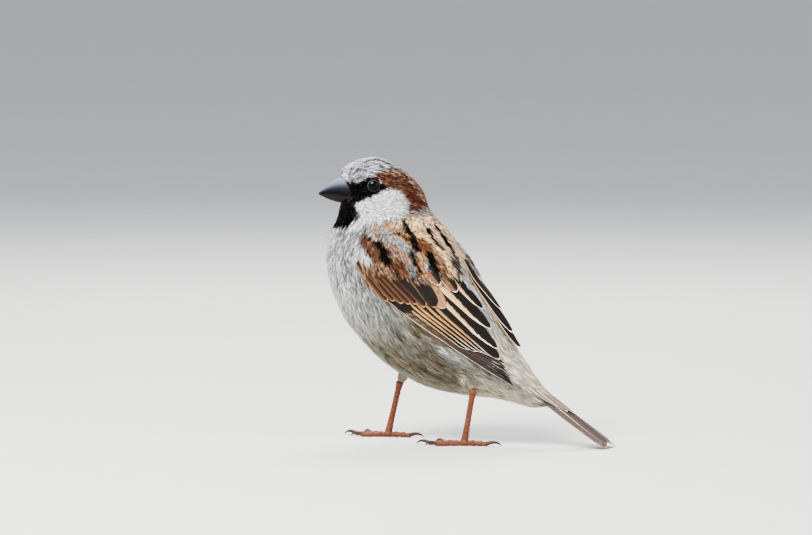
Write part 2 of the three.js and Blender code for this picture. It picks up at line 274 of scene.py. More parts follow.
# %% Node builder
class Nodes:
    """Adds nodes to one tree. An input is given by its name, and takes a value or a socket."""

    def __init__(self, tree):
        self.tree = tree

    def add(self, kind, inputs=None, **options):
        node = self.tree.nodes.new(kind)
        for name, value in options.items():
            setattr(node, name, value)
        for name, source in (inputs or {}).items():
            open_sockets = [s for s in node.inputs if s.enabled]
            if isinstance(name, int):
                socket = open_sockets[name]
            else:
                socket = next(s for s in open_sockets if s.name == name)
            if isinstance(source, bpy.types.NodeSocket):
                self.tree.links.new(source, socket)
            else:
                socket.default_value = source
        return node

    def out(self, kind, inputs=None, result=0, **options):
        """Adds a node and gives back one of its outputs."""
        node = self.add(kind, inputs, **options)
        open_sockets = [s for s in node.outputs if s.enabled]
        if isinstance(result, int):
            return open_sockets[result]
        return next(s for s in open_sockets if s.name == result)

    def maths(self, operation, *values):
        inputs = dict(enumerate(values))
        return self.out("ShaderNodeMath", inputs, operation=operation)

    def vectors(self, operation, *values):
        node = self.add("ShaderNodeVectorMath", operation=operation)
        named = {"SCALE": ("Vector", "Scale")}.get(operation)
        sockets = [s for s in node.inputs if s.enabled]
        if named:
            sockets = [next(s for s in sockets if s.name == n) for n in named]
        for socket, source in zip(sockets, values):
            if isinstance(source, bpy.types.NodeSocket):
                self.tree.links.new(source, socket)
            else:
                socket.default_value = source
        return next(s for s in node.outputs if s.enabled)

    def attribute(self, name, kind="FLOAT"):
        """A named attribute, in Geometry Nodes."""
        return self.out("GeometryNodeInputNamedAttribute", {"Name": name}, data_type=kind)


def group(name, kind, inputs, outputs):
    """A node group with named sockets; returns the tree, its input node and output node."""
    tree = bpy.data.node_groups.new(name, kind)
    for label, socket, value in inputs:
        item = tree.interface.new_socket(label, in_out="INPUT", socket_type=socket)
        if value is not None:
            item.default_value = value
    for label, socket in outputs:
        tree.interface.new_socket(label, in_out="OUTPUT", socket_type=socket)
    entry = tree.nodes.new("NodeGroupInput")
    leave = tree.nodes.new("NodeGroupOutput")
    return tree, entry, leave


# %% [markdown]
# ## The wing's bed
# A folded wing lies on the flank like a shallow shell. The skin rises under it, so that
# the long feathers have something to lie on. The tables say where the wing's lower and
# upper edges run, in degrees from the breast, and where its long feathers begin.

# %% Wing edges
WING_AT = [8.6, 9.3, 10.4, 11.5, 12.9, 14.3, 15.6, 16.6, 17.4]
WING_LOW = [92, 86, 79, 74, 88, 98, 109, 115, 120]
WING_HIGH = [118, 126, 142, 158, 162, 156, 149, 139, 128]
LONG_START = ([70, 79, 103, 118, 123, 146, 168], [10.1, 10.35, 11.3, 11.8, 12.1, 12.35, 12.8])


def wing_cover(at, angle, edge=4.0):
    """1 under a folded wing and 0 outside it, with a soft edge some degrees wide."""
    turn = np.abs(angle)
    low, high = np.interp(at, WING_AT, WING_LOW), np.interp(at, WING_AT, WING_HIGH)
    inside = smooth(turn, low - edge / 2, low + edge / 2) * (1 - smooth(turn, high - edge, high + edge))
    return inside * smooth(at, 8.7, 9.8) * (1 - smooth(at, 15.2, 16.8))


def under_long_feathers(at, angle):
    """1 where the wing's coverts and quills hide whatever grows beneath them."""
    start = np.interp(np.abs(angle), *LONG_START)
    return wing_cover(at, angle, 8.0) * smooth(at, start - 0.1, start + 0.5)


# %% [markdown]
# ## The skin
# Under its feathers a bird has one unbroken skin. It lies inside the plumage's outline
# by the depth of the coat: over a millimetre on the belly, next to nothing at the bill.
# The thighs are cones joined to the body, and a voxel remesh makes one closed surface of
# them all, so that no seam shows where a leg leaves the belly.

# %% Coat depth and skin
WING_BED = 0.35  # how far the bed of the wing stands out
LEGS = {
    "left": {"hip": (22, -7.5, 34), "heel": (31.4, -11.2, 20.6), "foot": (28, -11, 2), "heading": 188},
    "right": {"hip": (4, 7.5, 40), "heel": (-6.8, 10.8, 21), "foot": (-11.4, 10.6, 2), "heading": 176},
}


def from_head(points, at):
    """Where points lie in the head's own terms: ahead of the neck axis, to the right, up."""
    straight = turned(points, -turn_at(at))
    return NECK_AXIS_X - straight[..., 0], straight[..., 1], straight[..., 2]


def eye_distance(points, at):
    ahead, _, up = from_head(points, at)
    return np.hypot(ahead - EYE["ahead"], up - EYE["level"])


def coat_depth(at, angle):
    """How far the skin lies below the plumage's surface, or above it where it is negative."""
    angle = (np.asarray(angle, float) + 180) % 360 - 180
    wing = wing_cover(at, angle)
    depth = np.interp(at, [0, 3, 5, 7, 9, 12, 15, 17, 19], [0.5, 0.6, 0.8, 1.1, 1.3, 1.4, 1.3, 1.0, 0.6])
    surface = body_point(at, angle)
    ahead, _, _ = from_head(surface, at)
    face = smooth(ahead, 9.5, 12.5) * (1 - smooth(at, 5.6, 6.4))
    depth = depth * (1 - 0.65 * face)
    orbit = 1 - smooth(eye_distance(surface, at), 2.0, 3.3)
    depth = depth + 1.3 * orbit * (1 - smooth(at, 6, 6.5))
    return depth * (1 - wing) - WING_BED * wing


def thigh(hip, heel):
    """Rings of the feathered upper leg, from hip to heel."""
    hip, heel = np.array(hip, float), np.array(heel, float)
    axis = unit(heel - hip)
    across = unit(np.cross(axis, (0, 1, 0)))
    other = np.cross(axis, across)
    turn = np.linspace(0, 2 * math.pi, 20, endpoint=False)[:, None]
    rings = []
    for u in np.linspace(0, 0.97, 14):
        radius = 4.8 + (1.4 - 4.8) * u**0.8 - 0.4 * (1 - u)
        rings.append(hip + (heel - hip) * u + radius * (np.cos(turn) * across + np.sin(turn) * other))
    return tube(rings)


ROWS, COLUMNS = 190, 150
row_at = np.linspace(0, LAST, ROWS)[:, None]
row_angle = np.linspace(0, 360, COLUMNS, endpoint=False)[None]
loft, loft_faces = tube(body_point(row_at, row_angle, -coat_depth(row_at, row_angle)))

# a flat stump runs on under the tail feathers, so that the coverts can lie along it
TAIL_SLOPE = math.radians(33.5)
TAIL_ROOT = np.array([53.0, 0, 20.0])
TAIL_DOWN = np.array([math.cos(TAIL_SLOPE), 0, -math.sin(TAIL_SLOPE)])
TAIL_UP = np.array([math.sin(TAIL_SLOPE), 0, math.cos(TAIL_SLOPE)])
stump_turn = np.linspace(0, 2 * math.pi, 24, endpoint=False)[:, None]
stump = []
for u in np.linspace(0, 1, 16):
    wide, high = 4.3 - 0.6 * u, 2.0 - 1.3 * u
    middle = TAIL_ROOT + TAIL_DOWN * (-8 + 24 * u)
    ring = np.cos(stump_turn) * wide * np.array([0, 1, 0]) + np.sin(stump_turn) * high * TAIL_UP
    stump.append(middle + ring)
parts = [(loft, loft_faces), tube(stump)]
parts += [thigh(leg["hip"], leg["heel"]) for leg in LEGS.values()]
all_points, all_faces, count = [], [], 0
for points, faces in parts:
    all_points.append(points)
    all_faces += [tuple(i + count for i in face) for face in faces]
    count += len(points)
skin = mesh_object("skin", np.vstack(all_points), all_faces)

VOXEL = 0.5
for kind, settings in (
    ("REMESH", {"mode": "VOXEL", "voxel_size": VOXEL * MM}),
    ("SMOOTH", {"factor": 0.5, "iterations": 4}),
):
    modifier = skin.modifiers.new(kind.lower(), kind)
    for name, value in settings.items():
        setattr(modifier, name, value)


def bake_modifiers(thing):
    """Turns what the modifiers make into the object's own mesh."""
    depsgraph = bpy.context.evaluated_depsgraph_get()
    depsgraph.update()
    made = bpy.data.meshes.new_from_object(thing.evaluated_get(depsgraph))
    thing.modifiers.clear()
    thing.data = made
    made.name = thing.name
    return made


bake_modifiers(skin)
skin.data.shade_smooth()
print("skin:", len(skin.data.vertices), "points")

# %% [markdown]
# The remesh forgets where on the bird each point lies. The nearest points of the loft
# remember, so a search tree hands `at` and `angle` back to every point of the skin.


# %% Find at and angle again
def places_of(points, rows=260, columns=240, grow=None):
    """`at` and `angle` of points near the body's surface."""
    at = np.linspace(0, LAST, rows)[:, None]
    angle = np.linspace(-180, 180, columns, endpoint=False)[None]
    depth = -coat_depth(at, angle) if grow is None else grow
    known = body_point(at, angle, depth).reshape(-1, 3)
    at, angle = (np.broadcast_to(v, (rows, columns)).ravel() for v in (at, angle))
    tree = KDTree(len(known))
    for i, point in enumerate(known.tolist()):
        tree.insert(point, i)
    tree.balance()
    found_at, found_angle, distance = np.empty((3, len(points)))
    for i, point in enumerate(points.tolist()):
        near = tree.find_n(point, 3)
        index = [n[1] for n in near]
        weight = np.array([1 / (n[2] + 0.02) for n in near])
        turn = np.radians(angle[index])
        found_at[i] = (at[index] * weight).sum() / weight.sum()
        found_angle[i] = math.degrees(
            math.atan2((np.sin(turn) * weight).sum(), (np.cos(turn) * weight).sum())
        )
        distance[i] = near[0][2]
    return found_at, found_angle, distance


skin_points = read_points(skin.data)
skin_at, skin_angle, skin_away = places_of(skin_points)
print("skin points off the loft, on the thighs:", int((skin_away > 0.8).sum()))

# %% [markdown]
# ## Markings
# A cock house sparrow has a grey crown, a chestnut band from the eye round to the nape, a
# black mask and bib, white cheeks and a grey breast. The back and shoulders are streaked
# with black, cream and chestnut. The marks are painted once, as a function of the place on
# the body, and both the skin and the feathers take their colour from it. A little noise
# makes their edges ragged, as rows of feather tips do.

# %% Colours and marks
CROWN = paint(0.72, 0.72, 0.735)
CHESTNUT = paint(0.385, 0.195, 0.135)
CHEEK = paint(0.96, 0.96, 0.965)
BLACK = paint(0.045, 0.042, 0.045)
BREAST = paint(0.85, 0.85, 0.855)
BELLY = paint(0.72, 0.70, 0.635)
FLANK = paint(0.665, 0.685, 0.67)
OLIVE = paint(0.44, 0.37, 0.255)
VENT = paint(0.87, 0.83, 0.73)
MANTLE = paint(0.94, 0.82, 0.69)
RUMP = paint(0.91, 0.87, 0.79)
TINTS = {
    "black": paint(0.085, 0.07, 0.065),
    "cream": paint(1.0, 0.87, 0.68),
    "rufous": paint(0.53, 0.36, 0.27),
    "slate": paint(0.30, 0.29, 0.31),
    "buff": paint(0.78, 0.61, 0.43),
    "pale": paint(0.80, 0.80, 0.79),
    "white": paint(0.93, 0.92, 0.90),
    "grey_brown": paint(0.50, 0.44, 0.38),
    "fluff": paint(0.71, 0.695, 0.685),
    "rose": paint(0.70, 0.56, 0.49),
    "lilac": paint(0.60, 0.585, 0.575),
    "dusk": paint(0.86, 0.77, 0.69),
    "dark_chestnut": paint(0.46, 0.32, 0.26),
    "wing_brown": paint(0.71, 0.57, 0.465),
}
# a streak's two ends as at and angle, its half width in millimetres and its colour
STREAKS = [
    (9.5, 157, 11.8, 155, 1.2, "dusk"),
    (11.4, 167, 12.7, 160, 1.3, "lilac"),
    (13.2, 160, 15.0, 158, 2.4, "pale"),
    (15.2, 160, 17.2, 150, 1.6, "pale"),
    (14.65, 86, 15.5, 99, 1.5, "pale"),
    (8.4, 113, 10.0, 125, 1.7, "buff"),
    (9.0, 86, 10.4, 96, 2.5, "dark_chestnut"),
    (8.2, 95, 9.1, 103, 1.6, "rose"),
    (8.1, 91, 7.9, 118, 0.9, "buff"),
    (7.75, 90, 7.6, 115, 0.45, "black"),
    (8.0, 83, 9.0, 91, 1.0, "black"),
    (9.1, 109, 11.2, 121, 2.5, "fluff"),
    (9.7, 101, 10.9, 102, 1.3, "black"),
    (10.7, 99, 11.6, 107, 1.6, "black"),
    (11.2, 103, 12.0, 112, 1.0, "rufous"),
    (11.3, 118, 12.1, 114, 1.3, "lilac"),
    (10.5, 110, 11.2, 117, 1.9, "rose"),
    (11.3, 129, 12.2, 125, 1.3, "buff"),
    (11.7, 130, 12.5, 127, 1.0, "pale"),
    (12.4, 128, 13.0, 134, 1.0, "rose"),
    (12.4, 135, 12.9, 142, 1.2, "grey_brown"),
    (7.8, 127, 10.9, 130, 1.5, "black"),
    (7.8, 136.5, 10.4, 143, 2.9, "cream"),
    (8.5, 153, 11.7, 150, 1.05, "black"),
    (8.6, 168, 12.4, 165, 1.1, "black"),
    (8.4, 161, 11.0, 158, 0.7, "buff"),
    (10.5, 137, 11.4, 137, 1.5, "rufous"),
    (10.8, 145, 11.5, 148, 0.7, "cream"),
    (11.4, 137, 12.4, 132, 1.4, "black"),
    (11.7, 150, 12.6, 147, 1.2, "cream"),
    (12.0, 140, 12.4, 142, 0.9, "rufous"),
    (11.9, 156, 12.7, 154, 0.8, "slate"),
    (12.8, 132, 13.2, 139, 0.7, "black"),
    (12.8, 147, 13.1, 146, 0.7, "white"),
    (10.0, 83, 10.7, 86, 1.3, "white"),
    (9.6, 160, 11.0, 158, 0.5, "slate"),
    (10.2, 174, 12.6, 171, 0.6, "slate"),
    (9.0, 177, 10.6, 176, 0.6, "black"),
    (8.4, 87, 9.6, 91, 0.4, "buff"),
    (9.5, 92, 10.5, 95, 0.45, "buff"),
    (8.6, 92, 9.7, 98, 0.35, "black"),
    (9.9, 88, 10.7, 90, 0.4, "black"),
    (10.3, 105, 11.3, 111, 0.35, "black"),
    (9.2, 119, 10.2, 126, 0.5, "black"),
    (11.0, 123, 12.0, 121, 0.8, "black"),
]
# outlines on the side of the head, as millimetres ahead of the neck axis and up
CHESTNUT_BAND = [
    (3.2, 100.0), (-0.2, 101.4), (-3.2, 102.4), (-7.3, 101.5), (-11.1, 98.5), (-13.7, 94.7),
    (-16.3, 91.3), (-16.3, 88.0), (-13.7, 86.0), (-10.3, 86.8), (-9.9, 88.8), (-8.1, 91.7),
    (-6.2, 93.7), (-3.2, 94.7), (-0.2, 94.9), (0.9, 96.6), (2.8, 98.3),
]  # fmt: skip
MASK = [
    (16.5, 98.2), (14.2, 97.6), (9.9, 97.3), (6.3, 98.8), (3.6, 99.3), (1.6, 98.6), (-0.6, 96.6),
    (-2.2, 95.0), (0.2, 93.8), (2.3, 92.6), (4.6, 91.6), (7.6, 90.4), (9.9, 88.8), (17.0, 86.0),
]  # fmt: skip


class Grain:
    """Smooth random values on a grid that repeats, for ragged edges and streaks."""

    def __init__(self, seed):
        self.grid = np.random.default_rng(seed).uniform(-1, 1, (64, 64))

    def __call__(self, x, y):
        i, j = np.floor(x).astype(int), np.floor(y).astype(int)
        u, v = smooth(x - i, 0, 1), smooth(y - j, 0, 1)
        a, b = self.grid[i % 64, j % 64], self.grid[(i + 1) % 64, j % 64]
        c, d = self.grid[i % 64, (j + 1) % 64], self.grid[(i + 1) % 64, (j + 1) % 64]
        return (a * (1 - u) + b * u) * (1 - v) + (c * (1 - u) + d * u) * v


def inside(outline, x, y, soft):
    """1 inside an outline, 0 outside, with an edge `soft` wide."""
    outline = np.array(outline, float)
    nearest = np.full(np.shape(x), 1e9)
    within = np.zeros(np.shape(x), bool)
    for (ax, ay), (bx, by) in zip(outline, np.roll(outline, -1, axis=0)):
        t = np.clip(((x - ax) * (bx - ax) + (y - ay) * (by - ay)) / ((bx - ax) ** 2 + (by - ay) ** 2), 0, 1)
        nearest = np.minimum(nearest, np.hypot(x - ax - t * (bx - ax), y - ay - t * (by - ay)))
        crosses = (ay > y) != (by > y)
        within ^= crosses & (x < ax + (y - ay) * (bx - ax) / (by - ay + 1e-9))
    signed = np.where(within, nearest, -nearest)
    return smooth(signed, -soft, soft)


def to_streak(points, start, end):
    """Distance from points to a straight line between two spots of the body."""
    a, b = body_point(*start), body_point(*end)
    t = np.clip((points - a) @ (b - a) / ((b - a) @ (b - a)), 0, 1)[:, None]
    return np.linalg.norm(points - a - t * (b - a), axis=1)


def plumage(at, angle, points):
    """Colour of the plumage, and how often a feather there is a dark one."""
    fine, coarse = Grain(3), Grain(8)
    turn = np.abs(angle)
    wobble = fine(angle / 3.0, at * 4.0)
    long_streak = coarse(angle / 2.2, at * 0.8)
    count = len(at)
    colour = np.tile(BREAST, (count, 1))
    colour = blend(colour, BELLY, smooth(at, 11, 14))
    flank = smooth(turn, 35, 70) * smooth(at, 9.5, 12.5)
    colour = blend(colour, FLANK, 0.75 * flank)
    olive = smooth(at, 12.3, 13.9) * (1 - smooth(at, 15.8, 17.0)) * (0.65 + 0.6 * long_streak)
    colour = blend(colour, OLIVE, np.clip(0.85 * olive * smooth(turn, 10, 50), 0, 1))
    colour = blend(colour, VENT, smooth(at, 15.4, 16.4) * (1 - smooth(turn, 60, 105)))
    back = smooth(turn, 108, 122) * smooth(at + 0.2 * wobble, 7.5, 8.0)
    colour = blend(colour, MANTLE, back)
    colour = blend(colour, RUMP, back * smooth(at + 0.25 * long_streak, 11.6, 13.0))
    fleck = 0.09 + 0.34 * smooth(at, 6.8, 7.8) * (1 - smooth(at, 10.5, 11.5)) * smooth(turn, 20, 50)
    fleck = fleck + 0.05 * flank + 0.12 * olive.clip(0, 1) + 0.05 * back * (1 - smooth(at, 12.5, 13.5))
    # soft streaks run down the body, and the dark feathers keep to the darker ones
    streak = Grain(21)(angle / 2.6, at * 1.3 + 0.3 * coarse(angle / 9, at))
    colour = colour * (1 + (0.20 + 0.12 * smooth(at, 6.8, 7.8) * (1 - smooth(at, 9.5, 11))) * streak)[:, None]
    colour[:, 3] = 1
    fleck = fleck * smooth(-streak, -0.35, 0.35) * 1.6

    # the folded wing's small coverts are brown, with dark and rufous feathers among them
    covert = wing_cover(at, angle) * smooth(at, 8.9, 9.6) * (1 - smooth(at, 12.4, 13.2))
    brown = blend(
        TINTS["wing_brown"] * np.ones((count, 4)),
        TINTS["rufous"],
        smooth(fine(angle / 4, at * 2.2), 0.1, 0.5),
    )
    colour = blend(colour, brown, covert)
    fleck = fleck + 0.40 * covert

    # streaks of the shoulders and back
    for at0, turn0, at1, turn1, half, tint in STREAKS:
        for side in (-1, 1):
            far = to_streak(points, (at0, -side * turn0), (at1, -side * turn1))
            mark = 1 - smooth(far + 0.35 * wobble, half - 0.2, half + 0.35)
            colour = blend(colour, TINTS[tint], mark)
            fleck = fleck * (1 - 0.55 * mark)

    # the head
    ahead, across, up = from_head(points, at)
    head = 1 - smooth(at, 7.2, 7.6)
    x, y = ahead + 0.45 * wobble, up + 0.4 * fine(at * 5, angle / 4)
    cheek = head * smooth(at, 4.2, 4.6) * (1 - smooth(turn + 6 * wobble, 124, 134))
    crown = head * (1 - smooth(at, 4.4, 4.8))
    colour = blend(colour, BREAST, head * (1 - smooth(turn, 120, 130)))
    colour = blend(colour, CHEEK, cheek)
    # fine streaks run back over the crown
    arc = np.degrees(np.arctan2(across, up - 88))
    hair = Grain(14)(arc / 2.6 + 0.4 * fine(ahead, arc / 9), (ahead - 0.7 * up) / 2.3)
    top = np.clip(CROWN * (1.10 + 0.95 * hair)[:, None], 0, 1)
    colour = blend(colour, top, crown)
    faint = Grain(15)(up / 0.55 - 0.3 * ahead, ahead / 2.2)
    colour = colour * (1 + 0.10 * faint * cheek)[:, None]
    colour[:, 3] = 1
    fleck = fleck * (1 - cheek) + 0.9 * crown * smooth(-hair, 0.1, 0.5)
    fleck = fleck + 0.30 * cheek * smooth(-faint, 0.2, 0.6)
    nape = smooth(turn, 120, 135) * smooth(at, 5.9, 6.3) * (1 - smooth(at, 7.5, 8.0))
    colour = blend(colour, TINTS["grey_brown"], 0.75 * nape)
    band = head * inside(CHESTNUT_BAND, x, y, 0.5)
    colour = blend(colour, CHESTNUT, band)
    deep = band * inside(CHESTNUT_BAND, x, y, 2.4)
    edge = band * (1 - inside(CHESTNUT_BAND, x - 1.4, y + 1.9, 0.7))
    speck = Grain(17)(arc / 1.7, ahead / 0.7)
    frost = smooth(speck, 0.1, 0.45) * (0.3 * deep + edge)
    colour = blend(colour, paint(0.86, 0.76, 0.66), 0.8 * np.clip(frost, 0, 1))
    sooty = smooth(-speck, 0.1, 0.6) * band
    colour = blend(colour, TINTS["dark_chestnut"] * [0.5, 0.5, 0.5, 1], 0.6 * sooty)
    mask = head * inside(MASK, x, y, 0.4)
    colour = blend(colour, BLACK, mask)
    brow = np.hypot((ahead - 1.2) * 0.85, (up - 97.5) * 1.4)
    colour = blend(colour, CHEEK, 0.75 * head * (1 - smooth(brow, 0.6, 1.3)))
    bib_half = np.interp(at, [5.4, 5.9, 6.5, 7.0, 7.6], [40, 46, 60, 65, 60])
    bib = smooth(at, 5.2, 5.5) * (1 - smooth(at + 0.16 * wobble, 7.45, 7.65))
    bib = bib * (1 - smooth(turn + 5 * wobble, bib_half - 3, bib_half + 3))
    colour = blend(colour, BLACK, bib)
    glint = smooth(Grain(31)(arc / 2.0, (ahead - 0.5 * up) / 0.9), 0.25, 0.7)
    colour = blend(colour, paint(0.40, 0.38, 0.37), glint * (0.28 * mask + 0.16 * bib))
    fleck = fleck * (1 - bib) * (1 - mask) * (1 - 0.6 * band)
    # dark flecks scatter over the lores and above the eye
    lores = head * smooth(ahead, -1, 3) * smooth(up, 97.6, 98.4) * (1 - smooth(up, 100, 102))
    return colour, np.clip(fleck + 0.5 * lores * (1 - smooth(ahead, 12, 15)), 0, 1)


# %% [markdown]
# ## The lie of the coat
# Feathers point away from the bill: back over the crown and cheeks, down the breast, and
# along the flanks to the tail. Each spot also has a feather length, and a rise, which is how
# far the tips stand off the skin. On the face both are least.


# %% Lie, length and rise
def bristles(ahead, up):
    """1 where the forehead meets the bill: its short feathers point forward over the horn."""
    return np.exp(-(((ahead - 15.0) / 1.7) ** 2) - ((up - 99.3) / 1.5) ** 2)


def lie_of(at, angle, points):
    """The direction that feathers point in, before it is laid flat on the skin."""
    clipped = np.clip(at, 0.1, LAST - 0.1)
    tailward = unit(body_point(clipped + 0.1, angle) - body_point(clipped - 0.1, angle))
    ahead, _, up = from_head(points, at)
    front = smooth(ahead, 3, 13)
    rise = np.clip((up - 95.5) / 5, -1, 1) * 1.1 * front - 0.3 * (1 - front)
    back = np.stack([np.ones_like(rise), np.zeros_like(rise), rise], -1)
    forward = smooth(bristles(ahead, up), 0.35, 0.7)[:, None]
    back = back * (1 - forward) + forward * np.array([-1, 0, -0.35])
    back = unit(
        turned(back + [NECK_AXIS_X, 0, 0], turn_at(at)) - turned(np.array([[NECK_AXIS_X, 0, 0.0]]), 0)
    )
    share = smooth(at, 5.6, 8.4)[:, None]
    return unit(back * (1 - share) + tailward * share)


def feather_length(at, angle, points):
    turn = np.abs(angle)
    length = np.interp(at, [0, 4, 6, 8, 11, 14, 17, 19], [2.6, 3.0, 3.4, 4.7, 7.2, 9.0, 9.0, 8.2])
    ahead, _, _ = from_head(points, at)
    face = smooth(ahead, 2, 11) * (1 - smooth(at, 6, 7.2))
    length = length * (1 - 0.5 * face)
    shoulder = smooth(turn, 84, 92) * smooth(at, 8.0, 8.8) * (1 - smooth(at, 12.6, 13.4))
    return length * (1 - 0.35 * shoulder)


def paint_skin(thing, at, angle, away):
    """Stores markings and the coat's directions on a skin."""
    points, normals = read_points(thing.data), read_normals(thing.data)
    colour, fleck = plumage(at, angle, points)
    lie = lie_of(at, angle, points)
    length = feather_length(at, angle, points)
    rise = np.clip(coat_depth(at, angle), 0.2, 1.5)
    wing = wing_cover(at, angle)
    start = np.interp(np.abs(angle), *LONG_START)
    rise = rise * (1 - wing) + (1.1 + 0.5 * smooth(at, start - 1.4, start - 0.3)) * wing
    ahead, side, up = from_head(points, at)
    rise = rise + 0.8 * bristles(ahead, up - 0.8) * (at < 6.2)
    # the thighs: downward feathers that shorten towards the heel
    leg = smooth(away, 0.4, 1.2) * smooth(at, 10, 11)
    colour = blend(colour, BELLY * [0.8, 0.78, 0.74, 1], leg)
    heel = np.minimum(*(np.linalg.norm(points - np.array(l["heel"]), axis=1) for l in LEGS.values()))
    lie = unit(lie * (1 - leg)[:, None] + leg[:, None] * np.array([0.15, 0, -1.0]))
    length = length * (1 - leg) + leg * np.clip(1.9 + 0.35 * heel, 1.9, 3.5)
    rise = rise * (1 - leg) + leg * np.clip(0.1 * heel, 0.25, 0.8)
    cover = 1 - under_long_feathers(at, angle)
    cover = cover * np.where((away > 0.7) & (at > 18), 0, 1)
    cover = cover * (1 - (1 - smooth(heel, 0.4, 0.7)) * leg)
    near_eye = np.hypot(ahead - EYE["ahead"], up - EYE["level"])
    cover = cover * np.where(at < 6.2, smooth(near_eye, 2.35, 2.6), 1)
    bill = (ahead > 12.0) & (np.abs(up - 93.6) < 4.6 - 0.9 * (ahead - 12)) & (np.abs(side) < 3.7) & (at < 6.5)
    cover = cover * ~bill
    rise = rise * np.where(at < 6.2, 0.35 + 0.65 * smooth(near_eye, 2.4, 4.5), 1)
    length = length * np.where(at < 6.2, 0.45 + 0.55 * smooth(near_eye, 2.4, 4.5), 1)
    set_attribute(thing.data, "tint", "FLOAT_COLOR", colour)
    set_attribute(thing.data, "out", "FLOAT_VECTOR", normals)
    set_attribute(thing.data, "lie", "FLOAT_VECTOR", lie)
    set_attribute(thing.data, "long", "FLOAT", length * MM)
    set_attribute(thing.data, "rise", "FLOAT", rise * MM)
    set_attribute(thing.data, "cover", "FLOAT", cover)
    set_attribute(thing.data, "fleck", "FLOAT", fleck)
    turn = np.radians(angle)
    set_attribute(thing.data, "place", "FLOAT_VECTOR", np.stack([np.cos(turn), np.sin(turn), at / LAST], -1))
    return points


paint_skin(skin, skin_at, skin_angle, skin_away)

REGIONS = ["face", "crown", "nape", "cheek_far", "neck", "breast_left", "breast_right", "belly_left"]
REGIONS += ["belly_right", "shoulder_left", "shoulder_right", "back", "rump", "vent"]


def mean_on_faces(mesh, values):
    """Averages point values over each face."""
    total = np.zeros(len(mesh.polygons))
    sizes = np.empty(len(mesh.polygons), int)
    mesh.polygons.foreach_get("loop_total", sizes)
    corner = np.empty(len(mesh.loops), int)
    mesh.loops.foreach_get("vertex_index", corner)
    face = np.repeat(np.arange(len(sizes)), sizes)
    np.add.at(total, face, values[corner])
    return total / sizes


def split_regions(thing, at, angle):
    """Numbers each face with the coat piece that grows on it."""
    mesh = thing.data
    turn = np.radians(angle)
    at = mean_on_faces(mesh, at)
    angle = np.degrees(np.arctan2(mean_on_faces(mesh, np.sin(turn)), mean_on_faces(mesh, np.cos(turn))))
    turn, left = np.abs(angle), angle > 0
    number = {name: i for i, name in enumerate(REGIONS)}
    region = np.full(len(at), number["back"])
    back = turn > 112
    region[back & (at > 12.6)] = number["rump"]
    wing = (turn > 83) & (turn <= 132) & (at > 8.2) & (at < 13.4)
    for name, here in (("left", left), ("right", ~left)):
        region[~back & here & (at <= 11.6)] = number["breast_" + name]
        region[~back & here & (at > 11.6)] = number["belly_" + name]
        region[wing & here] = number["shoulder_" + name]
    region[~back & (at > 15.6)] = number["vent"]
    region[(at <= 9.0) & ~wing] = number["neck"]
    region[(at <= 6.6) & left] = number["face"]
    region[(at <= 6.6) & ~left] = number["cheek_far"]
    region[(at <= 4.0)] = number["crown"]
    region[(at <= 6.6) & (turn > 105) & (at > 4.0)] = number["nape"]
    set_attribute(mesh, "region", "INT", region, "FACE")
    for name, i in number.items():
        print(f"  {name}: {int((region == i).sum())} faces")


split_regions(skin, skin_at, skin_angle)

# %% [markdown]
# ## One tuft
# A body feather is soft: its barbs part at the tip like the hairs of a brush. A tuft
# here is seven thin barbs from one root. It is one unit long, and each point stores how far
# along the barb it lies and how high it should rise, so that one shape serves the whole bird.


# %% Tuft variants
def tuft(name, seed, barbs=7):
    """Closed three-sided barbs that fan out from one root."""
    random = np.random.default_rng(seed)
    points, faces, along, thick, spot = [], [], [], [], []
    for k in range(barbs):
        fan = 2 * (k + 0.5) / barbs - 1 + random.uniform(-0.08, 0.08)
        reach = (1 - 0.28 * fan**2) * random.uniform(0.84, 1.0)
        half = random.uniform(0.075, 0.10)
        start = len(points)
        for s, wide in ((0.0, 0.75), (0.55, 1.0), (1.0, 0.0)):
            x = reach * s
            y = 0.5 * fan * (0.25 + 0.75 * s**0.8) + 0.03 * random.uniform(-1, 1) * s
            lift = 0.08 * (1 - abs(fan))
            corners = ((-half, 0.0), (half, 0.0), (0.0, 0.09)) if wide else ((0.0, 0.03),)
            for dy, dz in corners:
                points.append((x, y + dy * wide, 0.0))
                thick.append(dz * max(wide, 0.3) + lift)
                along.append(x)
                spot.append((x, fan / 2 + 0.5, k / barbs))
        a = start
        faces.append((a, a + 2, a + 1))
        for p, q in ((0, 1), (1, 2), (2, 0)):
            faces.append((a + p, a + q, a + 3 + q, a + 3 + p))
            faces.append((a + 3 + p, a + 3 + q, a + 6))
    mesh = bpy.data.meshes.new(name)
    mesh.from_pydata(points, [], faces)
    set_attribute(mesh, "along", "FLOAT", along)
    set_attribute(mesh, "thick", "FLOAT", thick)
    set_attribute(mesh, "spot", "FLOAT_VECTOR", spot)
    return bpy.data.objects.new(name, mesh)


tufts = bpy.data.collections.new("tufts")
for i in range(4):
    tufts.objects.link(tuft(f"tuft_{i}", 10 + i))

# %% [markdown]
# ## Laying shapes on a surface
# Tufts and vanes start out straight, but feathers hug the body. This node group moves every
# point to the nearest spot of the surface and then out along its normal by the height that
# the point carries. It is the heart of the plumage, and both node trees below use it.


